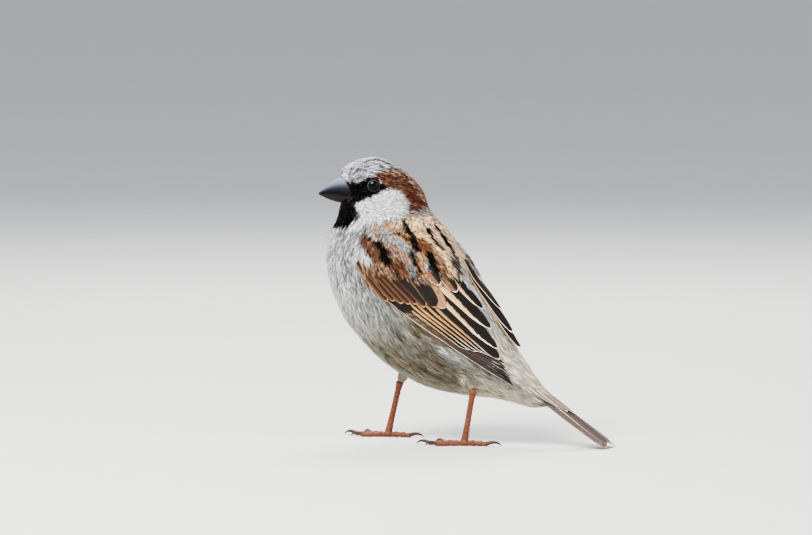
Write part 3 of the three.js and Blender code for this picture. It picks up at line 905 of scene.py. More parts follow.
# %% Lay on surface
def lay_on_surface():
    tree, entry, leave = group(
        "lay on surface",
        "GeometryNodeTree",
        [("Geometry", "NodeSocketGeometry", None), ("Surface", "NodeSocketGeometry", None)],
        [("Geometry", "NodeSocketGeometry")],
    )
    n = Nodes(tree)
    here = n.out("GeometryNodeInputPosition")
    surface = entry.outputs["Surface"]
    found = []
    for value in (here, n.attribute("out", "FLOAT_VECTOR")):
        inputs = {"Mesh": surface, "Value": value, "Sample Position": here}
        found.append(n.out("GeometryNodeSampleNearestSurface", inputs, data_type="FLOAT_VECTOR"))
    outward = n.vectors("SCALE", n.vectors("NORMALIZE", found[1]), n.attribute("height"))
    place = n.vectors("ADD", found[0], outward)
    laid = n.out("GeometryNodeSetPosition", {"Geometry": entry.outputs["Geometry"], "Position": place})
    tree.links.new(laid, leave.inputs[0])
    return tree


LAY = lay_on_surface()


def facing(n, normal, along):
    """A rotation whose Z is the normal and whose X points along the feather."""
    first = n.out("FunctionNodeAlignRotationToVector", {"Vector": normal}, axis="Z")
    return n.out(
        "FunctionNodeAlignRotationToVector",
        {"Rotation": first, "Vector": along},
        axis="X",
        pivot_axis="Z",
    )


def store(n, geometry, name, value, kind="FLOAT", domain="POINT"):
    """Adds a node that stores a named attribute, and gives back its geometry."""
    inputs = {"Geometry": geometry, "Name": name, "Value": value}
    return n.out("GeometryNodeStoreNamedAttribute", inputs, data_type=kind, domain=domain)


def between(n, low, high, seed):
    """A random value for each element."""
    return n.out("FunctionNodeRandomValue", {"Min": low, "Max": high, "Seed": seed}, data_type="FLOAT")


# %% [markdown]
# ## The coat's node tree
# Poisson-disk scattering keeps a least distance between roots, as skin does. At each root an
# instance of a tuft is turned along the lie of the coat, with a little disorder, scaled to the
# local feather length, realized, and laid on the skin. The tree stores a UV map as it
# goes: each tuft becomes a tiny patch at its root's place on an unwrap of the body, where U
# runs round the body and V from crown to tail.


# %% Coat tree
def coat_tree():
    inputs = [
        ("Geometry", "NodeSocketGeometry", None),
        ("Skin", "NodeSocketObject", None),
        ("Tufts", "NodeSocketCollection", None),
        ("Region", "NodeSocketInt", 0),
        ("Spacing", "NodeSocketFloat", 0.0008),
        ("Wide", "NodeSocketFloat", 0.0009),
        ("Disorder", "NodeSocketFloat", 0.2),
        ("Patch", "NodeSocketFloat", 0.003),
        ("Seed", "NodeSocketInt", 1),
        ("Material", "NodeSocketMaterial", None),
    ]
    tree, entry, leave = group(
        "feather coat", "GeometryNodeTree", inputs, [("Geometry", "NodeSocketGeometry")]
    )
    n, given = Nodes(tree), entry.outputs
    skin_shape = n.out("GeometryNodeObjectInfo", {"Object": given["Skin"]}, "Geometry")
    chosen = n.out(
        "FunctionNodeCompare",
        {"A": n.attribute("region", "INT"), "B": given["Region"]},
        data_type="INT",
        operation="EQUAL",
    )
    scatter = n.add(
        "GeometryNodeDistributePointsOnFaces",
        {
            "Mesh": skin_shape,
            "Selection": chosen,
            "Distance Min": given["Spacing"],
            "Density Max": 2e7,
            "Density Factor": n.attribute("cover"),
            "Seed": given["Seed"],
        },
        distribute_method="POISSON",
    )
    points = scatter.outputs["Points"]
    # a feather shows its outer half, so its colour is read from the skin beneath that half
    reach = n.vectors(
        "SCALE", n.attribute("lie", "FLOAT_VECTOR"), n.maths("MULTIPLY", n.attribute("long"), 0.6)
    )
    shown = n.vectors("ADD", n.out("GeometryNodeInputPosition"), reach)
    for label, kind in (("tint", "FLOAT_COLOR"), ("fleck", "FLOAT")):
        inputs = {"Mesh": skin_shape, "Value": n.attribute(label, kind), "Sample Position": shown}
        points = store(
            n, points, label, n.out("GeometryNodeSampleNearestSurface", inputs, data_type=kind), kind
        )
    # each tuft's own chances
    chance = between(n, 0.0, 1.0, 3)
    points = store(n, points, "chance", chance)
    dark = n.maths("LESS_THAN", between(n, 0.0, 1.0, 4), n.attribute("fleck"))
    points = store(n, points, "dark", dark)
    points = store(n, points, "rise", n.maths("MULTIPLY", n.attribute("rise"), between(n, 0.7, 1.12, 5)))
    turn = facing(n, n.attribute("out", "FLOAT_VECTOR"), n.attribute("lie", "FLOAT_VECTOR"))
    least = n.maths("MULTIPLY", given["Disorder"], -1.0)
    yaw = n.out(
        "FunctionNodeAxisAngleToRotation",
        {"Axis": (0, 0, 1), "Angle": between(n, least, given["Disorder"], 6)},
    )
    turn = n.out("FunctionNodeRotateRotation", {"Rotation": turn, "Rotate By": yaw}, rotation_space="LOCAL")
    across = n.out("FunctionNodeRotateVector", {"Vector": (0, 1, 0), "Rotation": turn})
    sway = n.vectors("SCALE", across, n.maths("MULTIPLY", n.attribute("long"), between(n, -0.16, 0.16, 7)))
    points = store(n, points, "sway", sway, "FLOAT_VECTOR")
    variants = n.out(
        "GeometryNodeCollectionInfo",
        {"Collection": given["Tufts"], "Separate Children": True, "Reset Children": True},
    )
    long = n.maths("MULTIPLY", n.attribute("long"), between(n, 0.75, 1.2, 8))
    wide = n.maths("MULTIPLY", given["Wide"], between(n, 0.8, 1.2, 9))
    scale = n.out("ShaderNodeCombineXYZ", {"X": long, "Y": wide, "Z": 1.0})
    grown = n.out(
        "GeometryNodeInstanceOnPoints",
        {
            "Points": points,
            "Instance": variants,
            "Pick Instance": True,
            "Instance Index": n.out(
                "FunctionNodeRandomValue", {"Min": 0, "Max": 3, "Seed": 10}, data_type="INT"
            ),
            "Rotation": turn,
            "Scale": scale,
        },
    )
    shape = n.out("GeometryNodeRealizeInstances", {"Geometry": grown})
    # sideways bend, then the height: quick at the root, level at the tip
    along = n.attribute("along")
    bend = n.vectors("SCALE", n.attribute("sway", "FLOAT_VECTOR"), n.maths("MULTIPLY", along, along))
    shape = n.out("GeometryNodeSetPosition", {"Geometry": shape, "Offset": bend})
    curve = n.maths("MULTIPLY", along, n.maths("SUBTRACT", 1.7, n.maths("MULTIPLY", along, 0.7)))
    height = n.maths("MULTIPLY", n.attribute("rise"), n.maths("SUBTRACT", curve, 0.06))
    height = n.maths("ADD", height, n.maths("MULTIPLY", n.attribute("thick"), given["Wide"]))
    shape = store(n, shape, "height", height)
    laid = n.add("GeometryNodeGroup", node_tree=LAY)
    tree.links.new(shape, laid.inputs["Geometry"])
    tree.links.new(skin_shape, laid.inputs["Surface"])
    # the patch of each tuft on the unwrapped body
    place = n.add("ShaderNodeSeparateXYZ", {0: n.attribute("place", "FLOAT_VECTOR")}).outputs
    around = n.maths("DIVIDE", n.maths("ARCTAN2", place["Y"], place["X"]), 2 * math.pi)
    root = n.out("ShaderNodeCombineXYZ", {"X": n.maths("ADD", around, 0.5), "Y": place["Z"]})
    spot = n.vectors("SUBTRACT", n.attribute("spot", "FLOAT_VECTOR"), (0.5, 0.5, 0.5))
    patch = n.vectors("ADD", root, n.vectors("SCALE", spot, given["Patch"]))
    shape = store(n, laid.outputs[0], "OFBake", patch, "FLOAT2", "CORNER")
    shape = n.out("GeometryNodeSetShadeSmooth", {"Geometry": shape})
    shape = n.out("GeometryNodeSetMaterial", {"Geometry": shape, "Material": given["Material"]})
    tree.links.new(shape, leave.inputs[0])
    return tree


COAT = coat_tree()


def grow(name, tree, settings, slot, nodes=()):
    """Runs a node tree on an empty mesh and keeps what it makes as a piece."""
    thing = mesh_object(name, [(0, 0, 0)])
    modifier = thing.modifiers.new("grow", "NODES")
    modifier.node_group = tree
    for item in tree.interface.items_tree:
        if item.in_out == "INPUT" and item.name in settings:
            modifier[item.identifier] = settings[item.name]
    bake_modifiers(thing)
    return finish(thing, nodes=nodes)

# %% [markdown]
# ## Materials of the plumage
# A feather is matt, darker at its hidden root and paler at its worn tip. The colour comes
# from the markings stored on the mesh; the node group adds what differs between tufts and
# between barbs. The shader itself stays in the material.


# %% Plumage materials
def material(name, build, roughness=0.85, **fixed):
    """A Principled material; `build` adds the nodes that vary and gives {input: socket}."""
    made = bpy.data.materials.new(name)
    made.use_nodes = True
    shader = made.node_tree.nodes["Principled BSDF"]
    shader.inputs["Roughness"].default_value = roughness
    for label, value in fixed.items():
        shader.inputs[label.replace("_", " ")].default_value = value
    n = Nodes(made.node_tree)
    for label, socket in build(n).items():
        made.node_tree.links.new(socket, shader.inputs[label])
    return made


def mixed(n, amount, a, b, kind="MIX"):
    inputs = {"Factor": amount, "A": a, "B": b}
    return n.out("ShaderNodeMix", inputs, data_type="RGBA", blend_type=kind, clamp_result=True)


def shader_attribute(n, name, result="Fac"):
    return n.out("ShaderNodeAttribute", result=result, attribute_name=name)


def use_group(n, tree, **inputs):
    """Places a node group and gives back the node's outputs by name."""
    node = n.add("ShaderNodeGroup", inputs, node_tree=tree)
    return node.outputs


def tuft_colour():
    outputs = [("Color", "NodeSocketColor"), ("Roughness", "NodeSocketFloat")]
    tree, entry, leave = group("tuft colour", "ShaderNodeTree", [("Dark", "NodeSocketColor", None)], outputs)
    n = Nodes(tree)
    tint = shader_attribute(n, "tint", "Color")
    along = shader_attribute(n, "along")
    spot = n.add("ShaderNodeSeparateXYZ", {0: shader_attribute(n, "spot", "Vector")}).outputs
    barb = n.maths(
        "FRACT", n.maths("MULTIPLY", n.maths("ADD", spot["Z"], shader_attribute(n, "chance")), 7.31)
    )
    light = n.maths("ADD", 0.74, n.maths("MULTIPLY", along, 0.28))
    light = n.maths(
        "ADD", light, n.maths("MULTIPLY", n.maths("SUBTRACT", shader_attribute(n, "chance"), 0.5), 0.22)
    )
    light = n.maths("ADD", light, n.maths("MULTIPLY", n.maths("SUBTRACT", barb, 0.5), 0.30))
    grey = n.out("ShaderNodeCombineColor", {"Red": light, "Green": light, "Blue": light})
    colour = mixed(n, 1.0, tint, grey, "MULTIPLY")
    dark = n.maths("MULTIPLY", shader_attribute(n, "dark"), n.maths("MULTIPLY", barb, 0.9))
    colour = mixed(n, dark, colour, entry.outputs["Dark"])
    tree.links.new(colour, leave.inputs["Color"])
    tree.links.new(n.maths("SUBTRACT", 0.95, n.maths("MULTIPLY", along, 0.2)), leave.inputs["Roughness"])
    return tree


TUFT_COLOUR = tuft_colour()


def plumage_material(name, dark):
    def build(n):
        made = use_group(n, TUFT_COLOUR, Dark=dark)
        return {"Base Color": made["Color"], "Roughness": made["Roughness"]}

    return material(name, build, Specular_IOR_Level=0.08)


def skin_build(n):
    grain = n.out("ShaderNodeTexNoise", {"Scale": 1400.0, "Detail": 4.0}, "Fac")
    shade = n.maths("ADD", 0.5, n.maths("MULTIPLY", grain, 0.35))
    grey = n.out("ShaderNodeCombineColor", {"Red": shade, "Green": shade, "Blue": shade})
    bump = n.out("ShaderNodeBump", {"Height": grain, "Strength": 0.6, "Distance": 0.0002})
    return {
        "Base Color": mixed(n, 1.0, shader_attribute(n, "tint", "Color"), grey, "MULTIPLY"),
        "Normal": bump,
    }


DOWN_GREY = plumage_material("feathers_grey", paint(0.22, 0.21, 0.205))
DOWN_BROWN = plumage_material("feathers_brown", paint(0.20, 0.145, 0.105))
finish(skin, material("skin", skin_build, 0.95, Specular_IOR_Level=0.1), FLESH)

# %% Grow the coat
# region: least distance between roots, width of a tuft, disorder, material
COATS = {
    "crown": (0.48, 0.62, 0.22, DOWN_GREY),
    "face": (0.42, 0.52, 0.2, DOWN_GREY),
    "cheek_far": (0.46, 0.56, 0.2, DOWN_GREY),
    "nape": (0.5, 0.62, 0.2, DOWN_GREY),
    "neck": (0.66, 0.8, 0.2, DOWN_GREY),
    "breast_left": (0.72, 0.85, 0.2, DOWN_GREY),
    "breast_right": (0.72, 0.85, 0.2, DOWN_GREY),
    "belly_left": (0.86, 0.70, 0.15, DOWN_BROWN),
    "belly_right": (0.86, 0.70, 0.15, DOWN_BROWN),
    "shoulder_left": (0.6, 0.75, 0.13, DOWN_BROWN),
    "shoulder_right": (0.6, 0.75, 0.13, DOWN_BROWN),
    "back": (0.62, 0.8, 0.12, DOWN_BROWN),
    "rump": (0.85, 1.0, 0.16, DOWN_BROWN),
    "vent": (0.85, 0.85, 0.16, DOWN_BROWN),
}
for region, (spacing, wide, disorder, finish_material) in COATS.items():
    settings = {
        "Skin": skin,
        "Tufts": tufts,
        "Region": REGIONS.index(region),
        "Spacing": spacing * MM * 1,
        "Wide": wide * MM * 1,
        "Disorder": disorder,
        "Seed": 7 + REGIONS.index(region),
        "Material": finish_material,
    }
    grow("coat_" + region, COAT, settings, "plumage")

# %% [markdown]
# ## A cloak for the long feathers
# The quills of a folded wing don't follow the skin into its hollows. They lie on a smooth
# sheet just above the plumage, which lifts away from the rump towards the wing's tip. The
# sheet is only a guide for the node tree: it isn't part of the bird.


# %% Guide surfaces
def guide(name, points, faces):
    """A surface that vanes are laid on, with its normals stored."""
    thing = mesh_object(name, points, faces)
    set_attribute(thing.data, "out", "FLOAT_VECTOR", read_normals(thing.data))
    return thing


cloak_at = np.linspace(7, LAST, 90)[:, None]
cloak_angle = np.linspace(0, 360, 120, endpoint=False)[None]
cloak_lift = WING_BED + 0.1 + 0.9 * smooth(cloak_at, 13.5, 17.5) + 0 * cloak_angle
cloak = guide("cloak", *tube(body_point(cloak_at, cloak_angle, cloak_lift)))


# %% [markdown]
# ## One vane
# A quill feather is a stiff vane: a shaft with a web on either side. The unit vane is a thin
# closed blade, one long and one wide, whose outline differs between a covert, a flight
# feather and a tail feather. Each point stores where it lies, along and across, and
# the material draws the shaft, the webs and their pale edges from those two numbers.


# %% Vane shapes
VANE_SHAPES = {
    "covert": (0.55, 0.30, 0.62, 2.2, 14, 8),  # width at root, full from, tip from, roundness, grid
    "flight": (0.45, 0.35, 0.84, 1.8, 26, 8),
    "pointed": (0.45, 0.30, 0.70, 1.25, 26, 8),
    "tail": (0.40, 0.55, 0.86, 1.9, 26, 8),
    "tertial": (0.60, 0.35, 0.64, 1.75, 24, 8),
}


def vane(name, root, full, tip, roundness, rows, columns):
    """A thin closed blade with a rounded tip."""
    stations = 1 - (1 - np.linspace(0, 1, rows)) ** 1.5  # closer together at the tip
    across = np.linspace(-1, 1, columns)
    widen = root + (1 - root) * smooth(stations, 0, full)
    taper = (1 - np.clip((stations - tip) / (1 - tip), 0, 1) ** roundness) ** (1 / roundness)
    x, v = np.meshgrid(stations, across, indexing="ij")
    y = 0.5 * v * (widen * np.maximum(taper, 0.02))[:, None]
    edge = np.sqrt(np.clip(1 - np.abs(v) ** 6, 0, 1))
    thick = 0.05 * edge + 0.05 * np.exp(-((v / 0.12) ** 2)) * (1 - x)
    top = np.stack([x, y, 0 * x], -1).reshape(-1, 3)
    mesh = bpy.data.meshes.new(name)
    inner = grid_faces(rows, columns)
    total = rows * columns
    rim = list(range(columns)) + [r * columns + columns - 1 for r in range(1, rows)]
    rim += [total - 1 - c for c in range(1, columns)] + [r * columns for r in range(rows - 2, 0, -1)]
    faces = inner.tolist() + (inner[:, ::-1] + total).tolist()
    faces += [(a, a + total, b + total, b) for a, b in zip(rim, rim[1:] + rim[:1])]
    mesh.from_pydata(np.vstack([top, top]), [], [f[::-1] for f in faces])
    blade = np.stack([x, v, 0 * x], -1).reshape(-1, 3)
    set_attribute(mesh, "blade", "FLOAT_VECTOR", np.vstack([blade, blade]))
    set_attribute(mesh, "thick", "FLOAT", np.concatenate([thick.ravel(), -0.05 * edge.ravel()]) * MM)
    return bpy.data.objects.new(name, mesh)


vanes = bpy.data.collections.new("vanes")
for i, (name, numbers) in enumerate(VANE_SHAPES.items()):
    vanes.objects.link(vane(f"vane_{i}_{name}", *numbers))


# %% Vane tree
def vane_tree():
    inputs = [
        ("Geometry", "NodeSocketGeometry", None),
        ("Roots", "NodeSocketObject", None),
        ("Surface", "NodeSocketObject", None),
        ("Vanes", "NodeSocketCollection", None),
        ("Cell", "NodeSocketFloat", 0.1),
        ("Material", "NodeSocketMaterial", None),
    ]
    tree, entry, leave = group("laid vanes", "GeometryNodeTree", inputs, [("Geometry", "NodeSocketGeometry")])
    n, given = Nodes(tree), entry.outputs
    roots = n.out("GeometryNodeObjectInfo", {"Object": given["Roots"]}, "Geometry")
    surface = n.out("GeometryNodeObjectInfo", {"Object": given["Surface"]}, "Geometry")
    turn = facing(n, n.attribute("normal", "FLOAT_VECTOR"), n.attribute("aim", "FLOAT_VECTOR"))
    across = n.out("FunctionNodeRotateVector", {"Vector": (0, 1, 0), "Rotation": turn})
    points = store(n, roots, "across", across, "FLOAT_VECTOR")
    size = n.add("ShaderNodeSeparateXYZ", {0: n.attribute("size", "FLOAT_VECTOR")}).outputs
    variants = n.out(
        "GeometryNodeCollectionInfo",
        {"Collection": given["Vanes"], "Separate Children": True, "Reset Children": True},
    )
    grown = n.out(
        "GeometryNodeInstanceOnPoints",
        {
            "Points": points,
            "Instance": variants,
            "Pick Instance": True,
            "Instance Index": n.attribute("shape", "INT"),
            "Rotation": turn,
            "Scale": n.out("ShaderNodeCombineXYZ", {"X": size["X"], "Y": size["Y"], "Z": 1.0}),
        },
    )
    shape = n.out("GeometryNodeRealizeInstances", {"Geometry": grown})
    size = n.add("ShaderNodeSeparateXYZ", {0: n.attribute("size", "FLOAT_VECTOR")}).outputs
    blade = n.add("ShaderNodeSeparateXYZ", {0: n.attribute("blade", "FLOAT_VECTOR")}).outputs
    lift = n.add("ShaderNodeSeparateXYZ", {0: n.attribute("lift", "FLOAT_VECTOR")}).outputs
    # sideways bend along the feather, strongest at the tip
    u, v = blade["X"], n.maths("MULTIPLY", blade["Y"], n.attribute("hand"))
    bend = n.vectors(
        "SCALE",
        n.attribute("across", "FLOAT_VECTOR"),
        n.maths("MULTIPLY", size["Z"], n.maths("MULTIPLY", u, u)),
    )
    shape = n.out("GeometryNodeSetPosition", {"Geometry": shape, "Offset": bend})
    # height: from root to tip, tilted so that the outer web lies on its neighbour
    rise = n.maths("MULTIPLY", n.maths("SUBTRACT", lift["Y"], lift["X"]), u)
    height = n.maths("ADD", lift["X"], rise)
    height = n.maths("ADD", height, n.maths("MULTIPLY", lift["Z"], v))
    height = n.maths("ADD", height, n.attribute("thick"))
    camber = n.maths("MULTIPLY", n.maths("SUBTRACT", 1.0, n.maths("MULTIPLY", v, v)), 0.0001)
    shape = store(n, shape, "height", n.maths("ADD", height, camber))
    laid = n.add("GeometryNodeGroup", node_tree=LAY)
    tree.links.new(shape, laid.inputs["Geometry"])
    tree.links.new(surface, laid.inputs["Surface"])
    place = n.out("ShaderNodeCombineXYZ", {"X": u, "Y": n.maths("MULTIPLY_ADD", v, 0.46, 0.5)})
    place = n.vectors("SCALE", place, n.maths("MULTIPLY", given["Cell"], 0.92))
    place = n.vectors("ADD", n.attribute("cell", "FLOAT_VECTOR"), place)
    shape = store(n, laid.outputs[0], "OFBake", place, "FLOAT2", "CORNER")
    shape = store(n, shape, "web", n.out("ShaderNodeCombineXYZ", {"X": u, "Y": v}), "FLOAT_VECTOR")
    shape = n.out("GeometryNodeSetShadeSmooth", {"Geometry": shape})
    shape = n.out("GeometryNodeSetMaterial", {"Geometry": shape, "Material": given["Material"]})
    tree.links.new(shape, leave.inputs[0])
    return tree


VANE = vane_tree()

# %% [markdown]
# ## Vane material
# The centre of a quill feather is dark, its outer web has a broad pale edge and its tip a thin
# one. `plan` holds the widths of these bands as shares of the half width. Fine slanting lines
# stand for the barbs. `frost` is how white that edge turns towards the tip.


# %% Vane material
def vane_colour():
    outputs = [("Color", "NodeSocketColor"), ("Roughness", "NodeSocketFloat"), ("Height", "NodeSocketFloat")]
    tree, entry, leave = group("vane colour", "ShaderNodeTree", [("Barbs", "NodeSocketFloat", 60.0)], outputs)
    n = Nodes(tree)
    web = n.add("ShaderNodeSeparateXYZ", {0: shader_attribute(n, "web", "Vector")}).outputs
    plan = n.add("ShaderNodeSeparateXYZ", {0: shader_attribute(n, "plan", "Vector")}).outputs
    frost, chance = shader_attribute(n, "frost"), shader_attribute(n, "chance")
    u, v = web["X"], web["Y"]

    def step(value, start, width):
        shifted = n.maths("DIVIDE", n.maths("SUBTRACT", value, start), width)
        return n.out("ShaderNodeClamp", {"Value": shifted})

    # barbs slant from the shaft to the tip: noise drawn out along them, fine across them
    slant = n.maths("MULTIPLY", n.maths("ABSOLUTE", v), 5.0)
    slant = n.maths("SUBTRACT", n.maths("MULTIPLY", u, entry.outputs["Barbs"]), slant)
    own = n.maths("MULTIPLY", chance, 61.0)
    place = n.out("ShaderNodeCombineXYZ", {"X": slant, "Y": n.maths("MULTIPLY_ADD", v, 0.7, own), "Z": own})
    barbs = n.out("ShaderNodeTexNoise", {"Vector": place, "Scale": 1.0, "Detail": 3.0}, "Fac")
    grain = n.out("ShaderNodeTexNoise", {"Scale": 500.0, "Detail": 3.0}, "Fac")
    ragged = n.maths(
        "MULTIPLY", n.maths("SUBTRACT", barbs, 0.5), n.maths("MULTIPLY_ADD", plan["X"], 0.4, 0.045)
    )
    vv = n.maths("ADD", v, ragged)
    # the outer edge is broad at the base and a thin line at the tip
    fade = n.maths("SUBTRACT", 1.0, n.maths("MULTIPLY", step(u, 0.12, 0.8), 0.9))
    thin = n.maths("MULTIPLY_ADD", frost, 0.07, 0.03)
    wide = n.maths("MULTIPLY_ADD", plan["X"], fade, thin)
    outer = step(vv, n.maths("SUBTRACT", 1.0, wide), 0.12)
    inner_web = step(n.maths("MULTIPLY", vv, -1.0), shader_attribute(n, "split"), 0.22)
    ground = mixed(n, inner_web, shader_attribute(n, "ground", "Color"), shader_attribute(n, "core", "Color"))
    inner = step(n.maths("MULTIPLY", vv, -1.0), n.maths("SUBTRACT", 1.0, plan["Y"]), 0.12)
    bow = n.maths("MULTIPLY", n.maths("MULTIPLY", v, v), n.maths("MULTIPLY", plan["Z"], 1.5))
    tip = n.maths("ADD", u, n.maths("ADD", bow, n.maths("MULTIPLY", ragged, 0.06)))
    tip = step(tip, n.maths("SUBTRACT", 1.0, plan["Z"]), 0.02)
    edge = n.maths("MAXIMUM", outer, n.maths("MAXIMUM", inner, tip))
    white = n.maths("MULTIPLY", frost, step(u, 0.66, 0.24))
    trim = mixed(n, white, shader_attribute(n, "trim", "Color"), paint(0.95, 0.92, 0.88))
    colour = mixed(n, edge, ground, trim)
    light = n.maths(
        "ADD", 0.62, n.maths("ADD", n.maths("MULTIPLY", barbs, 0.42), n.maths("MULTIPLY", grain, 0.24))
    )
    light = n.maths("ADD", light, n.maths("MULTIPLY", n.maths("MULTIPLY", v, v), 0.4))
    grey = n.out("ShaderNodeCombineColor", {"Red": light, "Green": light, "Blue": light})
    colour = mixed(n, 1.0, colour, grey, "MULTIPLY")
    shaft = n.maths("LESS_THAN", n.maths("ABSOLUTE", v), 0.05)
    colour = mixed(n, n.maths("MULTIPLY", shaft, 0.55), colour, shader_attribute(n, "shaft", "Color"))
    tree.links.new(colour, leave.inputs["Color"])
    tree.links.new(n.maths("SUBTRACT", 0.85, n.maths("MULTIPLY", barbs, 0.25)), leave.inputs["Roughness"])
    tree.links.new(n.maths("ADD", barbs, shaft), leave.inputs["Height"])
    return tree


VANE_COLOUR = vane_colour()


def vane_build(n):
    made = use_group(n, VANE_COLOUR, Barbs=60.0)
    bump = n.out("ShaderNodeBump", {"Height": made["Height"], "Strength": 0.35, "Distance": 0.00006})
    return {"Base Color": made["Color"], "Roughness": made["Roughness"], "Normal": bump}


QUILLS = material("quills", vane_build, 0.7, Specular_IOR_Level=0.12)

# %% [markdown]
# ## Tracts of the wing
# The long feathers of a wing stand in tracts: coverts, tertials, secondaries and primaries. In
# a folded wing each feather's outer web lies over the next one out. A tract is told by its
# first and last feathers, as root and tip on the body, and the rest are spread between.

# %% Wing tracts
DARK = paint(0.115, 0.095, 0.085)
PURPLE = paint(0.19, 0.16, 0.155)
TAN = paint(0.57, 0.44, 0.285)
COVERT = paint(0.315, 0.21, 0.145)
ORANGE = paint(0.62, 0.44, 0.30)
CREAM = paint(0.84, 0.72, 0.55)
BUFF = paint(0.74, 0.61, 0.44)
WHITE = paint(0.94, 0.91, 0.87)
ROSE = paint(0.60, 0.45, 0.32)
RUST = paint(0.43, 0.29, 0.21)
# name, shape, count, keyframes (share, root at, root angle, tip at, tip angle, width),
# heights (root and tip of the first, root and tip of the last), tilt,
# colours (ground, inner web, edge), inner web from, plan (outer edge, inner edge, tip), frost
TRACTS = {
    "primaries": [
        ("primary", "pointed", 8,
         [(0, 12.0, 83, 17.9, 126.5, 2.8), (0.3, 12.2, 88, 17.6, 129, 3.2), (1, 12.9, 105, 16.4, 137, 4.2)],
         (0.05, 0.20, 0.35, 0.50), 0.10, (PURPLE, DARK, CREAM), 0.0, (0.15, 0.0, 0.012), 0.8),
    ],
    "secondaries": [
        ("secondary", "flight", 5,
         [(0, 12.1, 92, 15.30, 114, 3.4), (0.5, 12.4, 102, 15.70, 125, 4.4),
          (1, 12.6, 114, 16.15, 133.5, 4.8)],
         (0.40, 0.60, 0.75, 0.95), 0.14, (DARK, DARK, TAN), 0.2, (0.50, 0.05, 0.022), 0.5),
        ("tertial", "tertial", 3,
         [(0, 12.2, 120, 15.83, 142, 5.8), (0.5, 12.1, 129, 15.17, 150, 5.8),
          (1, 12.0, 142, 14.37, 154.5, 4.3)],
         (0.50, 1.05, 0.60, 1.30), 0.14, (DARK, DARK, BUFF), 0.2, (0.98, 0.05, 0.022), 0.8),
    ],
    "coverts": [
        ("alula", "covert", 2,
         [(0, 10.55, 75.5, 12.3, 86.5, 3.2), (1, 11.4, 80, 12.85, 95.5, 3.0)],
         (0.05, 0.55, 0.10, 0.60), 0.05, (DARK, DARK, COVERT), 0.2, (0.03, 0.0, 0.0), 0.0),
        ("primary_covert", "flight", 3,
         [(0, 11.0, 80, 12.9, 93, 2.5), (1, 11.3, 85, 13.0, 99, 2.9)],
         (0.30, 0.62, 0.40, 0.72), 0.08, (DARK, DARK, COVERT), 0.2, (0.08, 0.0, 0.0), 0.0),
        # greater coverts: the dark inner web reaches past the shaft into the outer web, partly their own dark
        # centres and partly painted shade where the next covert overlaps
        ("greater", "covert", 6,
         [(0, 10.3, 76, 12.30, 86, 3.3), (1, 11.1, 97, 13.15, 111, 4.2)],
         (0.05, 1.00, 0.15, 1.20), 0.16, (COVERT, DARK, ORANGE), -0.40, (0.20, 0.0, 0.03), 0.12),
        ("inner_covert", "covert", 1,
         [(0, 11.6, 120.5, 13.66, 122.5, 5.6), (1, 11.6, 120.5, 13.66, 122.5, 5.6)],
         (0.2, 1.15, 0.2, 1.15), 0.12, (ROSE, DARK, TAN), 0.7, (0.3, 0.0, 0.03), 0.25),
        ("oval_covert", "covert", 1,
         [(0, 11.4, 115, 13.42, 117.5, 5.2), (1, 11.4, 115, 13.42, 117.5, 5.2)],
         (0.20, 1.38, 0.2, 1.38), 0.08, (DARK, DARK, TAN), 0.2, (0.10, 0.0, 0.03), 0.0),
        ("scapular", "tertial", 2,
         [(0, 11.3, 127, 12.75, 131, 4.2), (1, 11.9, 137.5, 13.32, 141, 4.4)],
         (0.10, 1.60, 0.10, 1.60), 0.05, (RUST, DARK, WHITE), -0.2, (0.04, 0.03, 0.035), 0.7),
    ],
}  # fmt: skip


def vane_piece(name, feathers, surface, slot, nodes=()):
    """Lays a list of feathers, each a dictionary, on a surface as one piece."""
    roots = mesh_object(name + "_roots", [f["root"] for f in feathers])
    mesh = roots.data
    side = math.ceil(math.sqrt(len(feathers)))
    cells = [((i % side) / side + 0.003, (i // side) / side + 0.003, 0) for i in range(len(feathers))]
    for key, kind in (
        ("normal", "FLOAT_VECTOR"), ("aim", "FLOAT_VECTOR"), ("size", "FLOAT_VECTOR"),
        ("lift", "FLOAT_VECTOR"), ("plan", "FLOAT_VECTOR"), ("ground", "FLOAT_COLOR"),
        ("trim", "FLOAT_COLOR"), ("shaft", "FLOAT_COLOR"), ("core", "FLOAT_COLOR"),
        ("split", "FLOAT"), ("frost", "FLOAT"), ("chance", "FLOAT"), ("hand", "FLOAT"), ("shape", "INT"),
    ):  # fmt: skip
        set_attribute(mesh, key, kind, np.array([f[key] for f in feathers]))
    set_attribute(mesh, "cell", "FLOAT_VECTOR", cells)
    settings = {"Roots": roots, "Surface": surface, "Vanes": vanes, "Cell": 1 / side, "Material": QUILLS}
    piece = grow(name, VANE, settings, slot, nodes)
    bpy.data.objects.remove(roots)
    return piece


# the far wing sits a little higher, so that its innermost feathers reach over the back
FAR_WING = (
    "inner_tertial", "tertial", 3,
    [(0, 13.7, 187, 16.30, 184.5, 5.6), (0.5, 12.9, 184, 15.62, 182, 6.0), (1, 12.1, 180, 14.65, 176.5, 5.4)],
    (0.00, 1.05, -0.50, 1.25), 0.1, (DARK, DARK, CREAM), 0.2, (0.14, 0.14, 0.03), 1.0,
)  # fmt: skip


